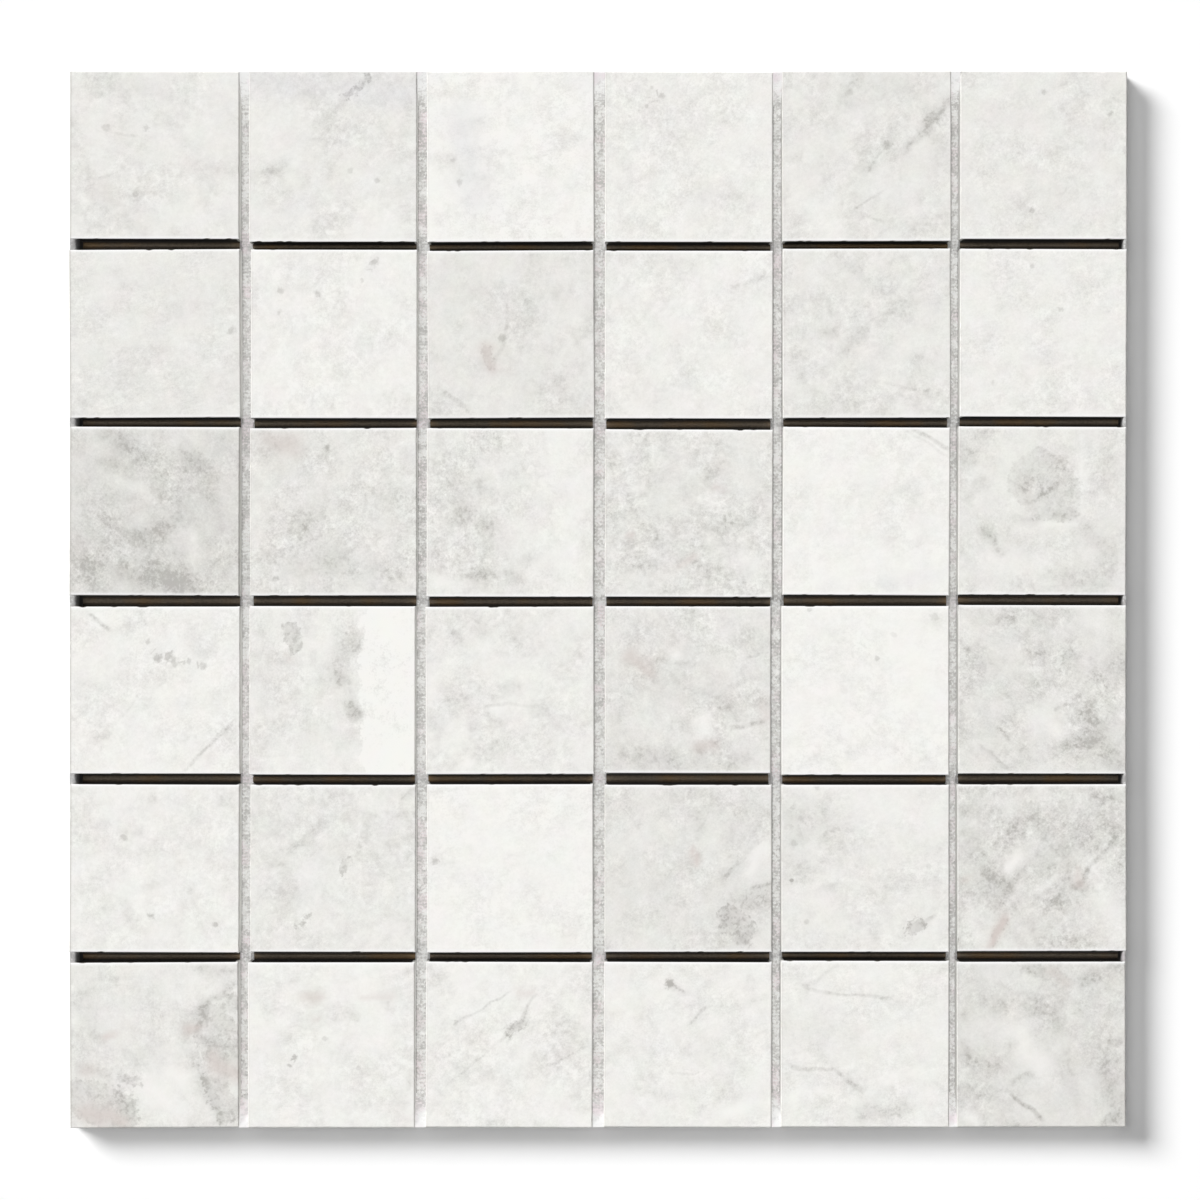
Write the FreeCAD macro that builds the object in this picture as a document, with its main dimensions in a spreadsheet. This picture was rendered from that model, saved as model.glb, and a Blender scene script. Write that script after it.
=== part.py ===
import FreeCAD, Part
import os
import Sketcher

# Mosaic tile sheet: square marble tiles, glued face up on a glass-fibre mesh with open joints
# between them. The origin is the middle of the sheet's underside. +X runs along the rows,
# +Y up the columns, and +Z out of the polished faces. The mesh lies on Z = 0.

doc = FreeCAD.newDocument("mosaic_tile_sheet")

# Driving dimensions, in millimetres and degrees
sizes = [
    ("columns", 6, "tiles along X"),
    ("rows", 6, "tiles along Y"),
    ("tile_side", 48.0, "sawn side of one tile"),
    ("tile_thickness", 9.5, "stone only, without the mesh"),
    ("joint_width", 3.0, "open joint between two tiles, for the grout"),
    ("arris_width", 0.3, "eased edge round the polished face"),
    ("straying", 1.0, "share of the tiles' own straying that is kept: 0 makes and lays them all alike"),
    ("yarns_per_tile", 12, "yarns to one tile and joint: an even number puts one under each joint"),
    ("yarn_width", 0.8, "flattened yarn, tip to tip"),
    ("yarn_flat_width", 0.5, "flat that it lies on"),
    ("yarn_thickness", 0.25, "flattened yarn, face to face"),
    ("mesh_margin", 1.0, "bare stone between the cut edge of the mesh and the edge of the sheet"),
]

dims = doc.addObject("Spreadsheet::Sheet", "dims")
for line, (alias, value, meaning) in enumerate(sizes, start=1):
    dims.set(f"A{line}", alias)
    dims.set(f"B{line}", str(value))
    dims.setAlias(f"B{line}", alias)
    dims.set(f"C{line}", meaning)
doc.recompute()

columns = int(dims.get("columns"))
rows = int(dims.get("rows"))

# How each tile strays, measured on the photo to a tenth, row by row from the far left corner: its
# centre off its place along X and along Y, its turn in degrees, and its side over size along X and Y
laid_tiles = [
    [(0.1, 0.1, -0.1, 0.7, 0.1), (0.4, -0.3, 0, 0.2, 1), (0.4, -0.3, 0.2, 0, 1),
     (0.6, -0.4, -0.1, 0.2, 0.9), (0.7, -0.2, 0.1, 0.5, 0.8), (0.5, 0.1, -0.1, -0.2, 0.2)],
    [(0.2, -0.1, 0.3, 1.1, 0.4), (0.7, -0.2, -0.1, -0.2, 0.5), (0.5, -0.3, 0.3, -0.1, 0.2),
     (0.6, -0.4, -0.1, 0.3, 0.3), (0.7, 0, 0.1, 0.2, 0.7), (0.4, 0.1, -0.2, -0.2, 0.3)],
    [(0.1, -0.1, -0.2, 0.8, 0.5), (0.5, -0.3, 0.1, -0.1, 0.2), (0.3, -0.5, -0.1, 0, 0.5),
     (0.6, -0.7, -0.2, 0.2, 0.2), (0.6, -0.1, -0.3, -0.1, 0.3), (0.1, 0, -0.2, 0.1, 0.4)],
    [(0.2, -0.5, 0, 1, 0.1), (0.2, -0.6, -0.1, -0.3, 0.5), (0.2, -0.6, 0.1, 0.4, 0.2),
     (0.3, -0.4, -0.1, -0.3, 0), (0.3, -0.6, 0, 0.1, 0.6), (0.1, -0.3, -0.1, 0.1, 0.5)],
    [(0.1, -0.7, -0.2, 0.8, 0.3), (0.4, -0.7, -0.1, -0.5, 0.1), (0.3, -0.7, 0.1, -0.3, 0.4),
     (0.4, -0.7, 0, 0.1, 0.1), (0.3, -0.7, 0, 0.2, 0.1), (0, -0.5, 0.1, 0.5, 0)],
    [(0, -0.4, 0.3, 0.5, -0.5), (-0.1, -0.4, 0, -0.1, -0.5), (0, -0.3, -0.2, -0.1, -0.4),
     (0.3, -0.3, -0.2, 0.2, -0.5), (0.2, -0.1, -0.1, 0.3, -0.2), (-0.2, -0.2, 0.1, 0.4, -0.5)],
]

# Lengths that follow from the driving ones
module = "(dims.tile_side + dims.joint_width)"
sheet_length = f"(dims.columns * {module} - dims.joint_width)"
sheet_width = f"(dims.rows * {module} - dims.joint_width)"
mesh_length = f"({sheet_length} - 2 * dims.mesh_margin)"
mesh_width = f"({sheet_width} - 2 * dims.mesh_margin)"
yarn_pitch = f"({module} / dims.yarns_per_tile)"


def yarns_each_side(extent):
    """Yarns that fit on each side of the middle one, across a piece of mesh."""
    return f"floor(({extent} - dims.yarn_width) / (2 * {yarn_pitch}))"


def origin_feature(body, role):
    """Plane or axis of a body's own origin."""
    return next(item for item in body.Origin.OriginFeatures if item.Role == role)


def new_body(name):
    """Empty body under the name that its file gets."""
    body = doc.addObject("PartDesign::Body", name)
    body.Label = name
    body.AllowCompound = True
    return body


def new_sketch(body, plane, name):
    """Sketch on one of the body's origin planes."""
    sketch = body.newObject("Sketcher::SketchObject", name)
    sketch.AttachmentSupport = [(origin_feature(body, plane), "")]
    sketch.MapMode = "FlatFace"
    return sketch


def draw_loop(sketch, corners):
    """Closed loop of straight lines through the corners."""
    for start, end in zip(corners, corners[1:] + corners[:1]):
        sketch.addGeometry(Part.LineSegment(FreeCAD.Vector(*start, 0), FreeCAD.Vector(*end, 0)), False)
    for line in range(len(corners)):
        following = (line + 1) % len(corners)
        sketch.addConstraint(Sketcher.Constraint("Coincident", line, 2, following, 1))


def drive(sketch, name, constraint, expression):
    """Named constraint that takes its value from the sheet."""
    index = sketch.addConstraint(constraint)
    sketch.renameConstraint(index, name)
    sketch.setExpression(f"Constraints.{name}", expression)


def add_pad(body, sketch, length, both_ways=False):
    """Pad of the sketch, one way or to both sides of its plane."""
    pad = body.newObject("PartDesign::Pad", "pad")
    pad.Profile = sketch
    if both_ways:
        pad.SideType = "Symmetric"
    pad.setExpression("Length", length)
    return pad


def make_tile(name, row, column, laid):
    """Sawn square of marble with an eased edge round its polished face, glued in its place."""
    stray_x, stray_y, turn, over_x, over_y = laid
    body = new_body(name)
    outline = new_sketch(body, "XY_Plane", "outline")
    draw_loop(outline, [(-20, -20), (20, -20), (20, 20), (-20, 20)])
    bottom, right, top, left = range(4)
    for line in (bottom, top):
        outline.addConstraint(Sketcher.Constraint("Horizontal", line))
    for line in (right, left):
        outline.addConstraint(Sketcher.Constraint("Vertical", line))
    # The outline is centred: two opposite corners mirror each other about the sketch's origin
    outline.addConstraint(Sketcher.Constraint("Symmetric", bottom, 1, top, 1, -1, 1))
    drive(outline, "side_x", Sketcher.Constraint("DistanceX", bottom, 1, bottom, 2, 40),
          f"dims.tile_side + {over_x} * dims.straying")
    drive(outline, "side_y", Sketcher.Constraint("DistanceY", right, 1, right, 2, 40),
          f"dims.tile_side + {over_y} * dims.straying")
    slab = add_pad(body, outline, "dims.tile_thickness")
    doc.recompute()

    polished = max(range(len(slab.Shape.Faces)), key=lambda face: slab.Shape.Faces[face].CenterOfMass.z)
    arris = body.newObject("PartDesign::Chamfer", "arris")
    arris.Base = (slab, [f"Face{polished + 1}"])
    arris.setExpression("Size", "dims.arris_width")
    body.Tip = arris

    # The two layers of mesh lie under the stone
    steps_right = column - (columns + 1) / 2
    steps_up = (rows + 1) / 2 - row
    body.setExpression("Placement.Base.x", f"{steps_right} * {module} + {stray_x} * dims.straying")
    body.setExpression("Placement.Base.y", f"{steps_up} * {module} + {stray_y} * dims.straying")
    body.setExpression("Placement.Base.z", "2 * dims.yarn_thickness")
    body.setExpression("Placement.Rotation.Angle", f"{turn} * dims.straying")
    return body


def make_yarns(name, plane, across, length, extent, height):
    """One layer of the mesh: equal yarns side by side, flattened where they are glued and crossed."""
    body = new_body(name)
    section = new_sketch(body, plane, "yarn_section")
    # Six-sided section: flat below and above, with a blunt tip at each side
    draw_loop(section, [(-2, 0), (2, 0), (3, 1), (2, 2), (-2, 2), (-3, 1)])
    bottom, right_low, right_high, top, left_high, left_low = range(6)
    origin_axis, upright_axis = -1, -2
    section.addConstraint(Sketcher.Constraint("PointOnObject", bottom, 1, origin_axis))
    section.addConstraint(Sketcher.Constraint("Symmetric", bottom, 1, bottom, 2, upright_axis))
    section.addConstraint(Sketcher.Constraint("Symmetric", top, 1, top, 2, upright_axis))
    section.addConstraint(Sketcher.Constraint("Symmetric", right_low, 2, left_high, 2, upright_axis))
    section.addConstraint(Sketcher.Constraint("Equal", bottom, top))
    drive(section, "flat", Sketcher.Constraint("DistanceX", bottom, 1, bottom, 2, 4),
          "dims.yarn_flat_width")
    drive(section, "width", Sketcher.Constraint("DistanceX", left_high, 2, right_low, 2, 6),
          "dims.yarn_width")
    drive(section, "thickness", Sketcher.Constraint("DistanceY", bottom, 2, right_high, 2, 2),
          "dims.yarn_thickness")
    drive(section, "tip_height", Sketcher.Constraint("DistanceY", bottom, 2, right_low, 2, 1),
          "dims.yarn_thickness / 2")
    yarn = add_pad(body, section, length, both_ways=True)

    layer = body.newObject("PartDesign::LinearPattern", "layer")
    layer.Originals = [yarn]
    layer.Direction = (origin_feature(body, across), [""])
    layer.Mode = "Spacing"
    layer.setExpression("Offset", yarn_pitch)
    layer.setExpression("Occurrences", f"2 * {yarns_each_side(extent)} + 1")
    body.Tip = layer

    # The pattern starts at the body's origin, so the body moves back by half of the layer
    start = f"-{yarns_each_side(extent)} * {yarn_pitch}"
    body.setExpression(f"Placement.Base.{across[0].lower()}", start)
    body.setExpression("Placement.Base.z", height)
    return body


# The mesh is laid out first: the weft lowest, and the warp on it
parts = [
    make_yarns("mesh_weft_threads", "YZ_Plane", "Y_Axis", mesh_length, mesh_width, "0"),
    make_yarns("mesh_warp_threads", "XZ_Plane", "X_Axis", mesh_width, mesh_length, "dims.yarn_thickness"),
]

# The tiles, row by row from the far left corner
for row in range(1, rows + 1):
    for column in range(1, columns + 1):
        # A sheet with more tiles than the photo's repeats their straying
        laid = laid_tiles[(row - 1) % len(laid_tiles)][(column - 1) % len(laid_tiles[0])]
        parts.append(make_tile(f"tile_r{row}_c{column}", row, column, laid))

doc.recompute()
for item in doc.Objects:
    if "Invalid" in item.State or "Error" in item.State:
        raise RuntimeError(f"{item.Label} failed: {item.State}")
for part in parts:
    if part.Shape.isNull() or not part.Shape.isValid():
        raise RuntimeError(f"{part.Label} has no valid solid")

os.makedirs("parts", exist_ok=True)
for part in parts:
    part.Shape.exportStep(f"parts/{part.Label}.step")
    print(part.Label, len(part.Shape.Solids), round(part.Shape.Volume, 1))
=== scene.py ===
import math
import random
import bmesh
import bpy
import numpy as np
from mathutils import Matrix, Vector, noise


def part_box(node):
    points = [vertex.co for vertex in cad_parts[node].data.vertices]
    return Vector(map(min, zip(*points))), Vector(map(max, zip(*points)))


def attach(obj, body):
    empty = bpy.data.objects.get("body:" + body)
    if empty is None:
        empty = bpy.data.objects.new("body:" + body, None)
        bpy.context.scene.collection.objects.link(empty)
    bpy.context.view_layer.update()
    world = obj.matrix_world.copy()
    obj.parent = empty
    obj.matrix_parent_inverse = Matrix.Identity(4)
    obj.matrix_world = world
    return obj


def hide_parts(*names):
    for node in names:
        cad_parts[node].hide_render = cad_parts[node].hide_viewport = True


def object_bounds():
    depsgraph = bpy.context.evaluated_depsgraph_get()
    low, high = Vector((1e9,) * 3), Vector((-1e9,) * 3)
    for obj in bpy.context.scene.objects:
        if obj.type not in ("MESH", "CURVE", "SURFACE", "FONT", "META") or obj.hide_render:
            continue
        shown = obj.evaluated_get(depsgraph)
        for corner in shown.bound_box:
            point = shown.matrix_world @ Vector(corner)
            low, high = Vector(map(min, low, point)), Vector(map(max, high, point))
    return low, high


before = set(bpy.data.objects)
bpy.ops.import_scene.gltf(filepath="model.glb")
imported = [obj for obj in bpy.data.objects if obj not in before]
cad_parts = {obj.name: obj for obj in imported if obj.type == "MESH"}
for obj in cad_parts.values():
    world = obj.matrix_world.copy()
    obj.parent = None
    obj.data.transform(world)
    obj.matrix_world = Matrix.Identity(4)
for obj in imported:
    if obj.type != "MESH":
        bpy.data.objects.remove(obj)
cadBox = [list(corner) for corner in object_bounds()]
scene = bpy.context.scene
mm = 0.001


def linear(hexColour):
    # sRGB hex to the linear RGBA that the sockets take
    levels = [int(hexColour[i:i + 2], 16) / 255 for i in (1, 3, 5)]
    return [c / 12.92 if c <= 0.04045 else ((c + 0.055) / 1.055) ** 2.4 for c in levels] + [1.0]


def addNode(tree, kind, links=None, **settings):
    # One node with its settings. links gives each input a value, or the output that feeds it
    node = tree.nodes.new(kind)
    for name, value in settings.items():
        setattr(node, name, value)
    for name, value in (links or {}).items():
        if isinstance(value, bpy.types.NodeSocket):
            tree.links.new(value, node.inputs[name])
        else:
            node.inputs[name].default_value = value
    return node


def newTree(name, sizes):
    # Geometry Nodes tree with one named input for each size
    tree = bpy.data.node_groups.new(name, "GeometryNodeTree")
    kinds = {float: "NodeSocketFloat", int: "NodeSocketInt", tuple: "NodeSocketVector",
             bpy.types.Material: "NodeSocketMaterial"}
    for label, value in sizes.items():
        tree.interface.new_socket(label, in_out="INPUT", socket_type=kinds[type(value)])
    tree.interface.new_socket("Geometry", in_out="OUTPUT", socket_type="NodeSocketGeometry")
    return tree, addNode(tree, "NodeGroupInput").outputs


def runTree(name, tree, sizes):
    # Runs the tree with these sizes, and keeps what it makes as the plain mesh of a new piece
    piece = bpy.data.objects.new(name, bpy.data.meshes.new(name))
    scene.collection.objects.link(piece)
    modifier = piece.modifiers.new("shape", "NODES")
    modifier.node_group = tree
    for socket in tree.interface.items_tree:
        if socket.in_out == "INPUT":
            modifier[socket.identifier] = sizes[socket.name]
    evaluated = piece.evaluated_get(bpy.context.evaluated_depsgraph_get())
    mesh = bpy.data.meshes.new_from_object(evaluated)
    piece.modifiers.remove(modifier)
    piece.data = mesh
    mesh.name = name
    return piece


def finishPiece(piece, node):
    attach(piece, "root")
    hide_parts(node)
    return piece


def triangles(piece):
    return sum(len(polygon.vertices) - 2 for polygon in piece.data.polygons)


# Camera: straight down on the sheet, as the photo was taken

cameraView = {
    "height": 1500 * mm,        # above the polished faces
    "widthSeen": 344.64 * mm,   # what the frame spans at that level
    "aimX": 0.56 * mm,          # the sheet lies a little left of the frame's middle
    "aimY": -0.11 * mm,
}


def makeCamera(view):
    lens = bpy.data.cameras.new("camera")
    lens.sensor_width = 36
    lens.lens = lens.sensor_width * view["height"] / view["widthSeen"]
    lens.clip_start, lens.clip_end = 0.01, 50
    camera = bpy.data.objects.new("camera", lens)
    scene.collection.objects.link(camera)
    top = cadBox[1][2]
    camera.location = (view["aimX"], view["aimY"], top + view["height"])
    scene.camera = camera


makeCamera(cameraView)


# Light: softboxes far off, as lamps from fixed directions. The shares and the sky add up to 1, the
# level at which a white card on the floor renders white.

lamps = [
    # name, azimuth it comes from, elevation, angular size, share of the light
    ("window", 143.3, 37.3, 26, 0.64),
    ("windowTop", 147, 73.8, 24, 0.15),
    ("overhead", 270, 81.5, 24, 0.19),
]
skyShare = 0.02


def makeLight():
    for name, azimuth, elevation, angle, share in lamps:
        sun = bpy.data.lights.new(name, "SUN")
        sun.angle = math.radians(angle)
        sun.energy = math.pi * share / math.sin(math.radians(elevation))
        lamp = bpy.data.objects.new(name, sun)
        a, e = math.radians(azimuth), math.radians(elevation)
        towards = Vector((math.cos(a) * math.cos(e), math.sin(a) * math.cos(e), math.sin(e)))
        lamp.rotation_mode = "QUATERNION"
        lamp.rotation_quaternion = towards.to_track_quat("Z", "Y")
        scene.collection.objects.link(lamp)
    world = bpy.data.worlds.new("studio")
    world.use_nodes = True
    tree = world.node_tree
    tree.nodes.clear()
    sky = addNode(tree, "ShaderNodeBackground", {"Color": linear("#ffffff"), "Strength": skyShare})
    white = addNode(tree, "ShaderNodeBackground", {"Color": linear("#ffffff"), "Strength": 1.0})
    path = addNode(tree, "ShaderNodeLightPath").outputs
    seen = addNode(tree, "ShaderNodeMath", {0: path["Is Camera Ray"], 1: path["Is Glossy Ray"]},
                   operation="MAXIMUM")
    through = addNode(tree, "ShaderNodeMath", {0: seen.outputs[0], 1: path["Is Transmission Ray"]},
                      operation="MAXIMUM")
    mixed = addNode(tree, "ShaderNodeMixShader",
                    {0: through.outputs[0], 1: sky.outputs[0], 2: white.outputs[0]})
    addNode(tree, "ShaderNodeOutputWorld", {"Surface": mixed.outputs[0]})
    scene.world = world


def makeFloor():
    # Matt white paper, which shows between the yarns in the open joints too
    material = bpy.data.materials.new("matt white paper")
    material.use_nodes = True
    tree = material.node_tree
    tree.nodes.clear()
    paper = addNode(tree, "ShaderNodeBsdfDiffuse", {"Color": linear("#ffffff"), "Roughness": 0.0})
    addNode(tree, "ShaderNodeOutputMaterial", {"Surface": paper.outputs[0]})
    half, low = 4.0, -0.05 * mm
    mesh = bpy.data.meshes.new("floor")
    mesh.from_pydata([(-half, -half, low), (half, -half, low), (half, half, low), (-half, half, low)],
                     [], [(0, 1, 2, 3)])
    mesh.materials.append(material)
    floor = bpy.data.objects.new("floor", mesh)
    scene.collection.objects.link(floor)


makeLight()
makeFloor()
print("stage: camera, light and floor")


# Glue that holds the tiles on the mesh. It stands dark brown in the level joints and on their
# walls, where it is painted shade, and pale in the upright joints, with a painted glow, and in the outer ends of
# all of them

glue = {
    "overlap": 0.3 * mm,        # how far a bead runs in under the tiles
    "level": 0.08 * mm,         # sides of a bead, above the mesh
    "darkRise": 0.35 * mm,      # ridge in the middle of the level joints
    "paleRise": 0.12 * mm,
    "endGap": 0.45 * mm,        # clean stone between a dark bead and an upright joint
    "leftEndGap": 2.0 * mm,     # and at the left and right edge of the sheet
    "rightEndGap": 0.9 * mm,
    "edge": "#15110c",          # near-black glue at the foot of the walls: painted shade
    "ridge": "#8a7c6a",
    "warmRidge": "#957a58",
    "patchSize": 18.0 * mm,
    "slump": 0.003,             # how far a bead lies off its joint's middle, as a share of its place
    "pale": "#f5f5f4",
    "paleShade": "#bebdbb",
    "paleTint": "#f0e7ea",      # pinkish here and there
    "paleWallShade": 0.42,           # painted shade along the walls
    "ribSize": 1.06 * mm,       # the weave shows faintly through the pale glue
    "blotchSize": 2.4 * mm,
    "paintedGlow": 0.3,                # painted glow of the pale glue
}

# Marble tiles

tileBlank = {
    "Thickness": 9.5 * mm,
    "Arris": 0.3 * mm,          # eased edge round the polished face
    "Cells": 40,                # mesh cells along a side
    "Chip Depth": 0.4 * mm,
    "Chip Size": 2.2 * mm,
}

# How each kind of tile looks: how grey it is, and how much it has of clouds, of fine figure and of
# small dark crumbs
stoneKinds = {
    "white": (0.04, 0.03, 0.8, 0.04),
    "bright": (0.09, 0.04, 1.0, 0.06),
    "quiet": (0.14, 0.05, 0.95, 0.07),
    "clouded": (0.18, 0.07, 1.05, 0.10),
    "mottled": (0.20, 0.06, 1.4, 0.18),
    "heavy": (0.27, 0.10, 1.5, 0.20),
}

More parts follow.
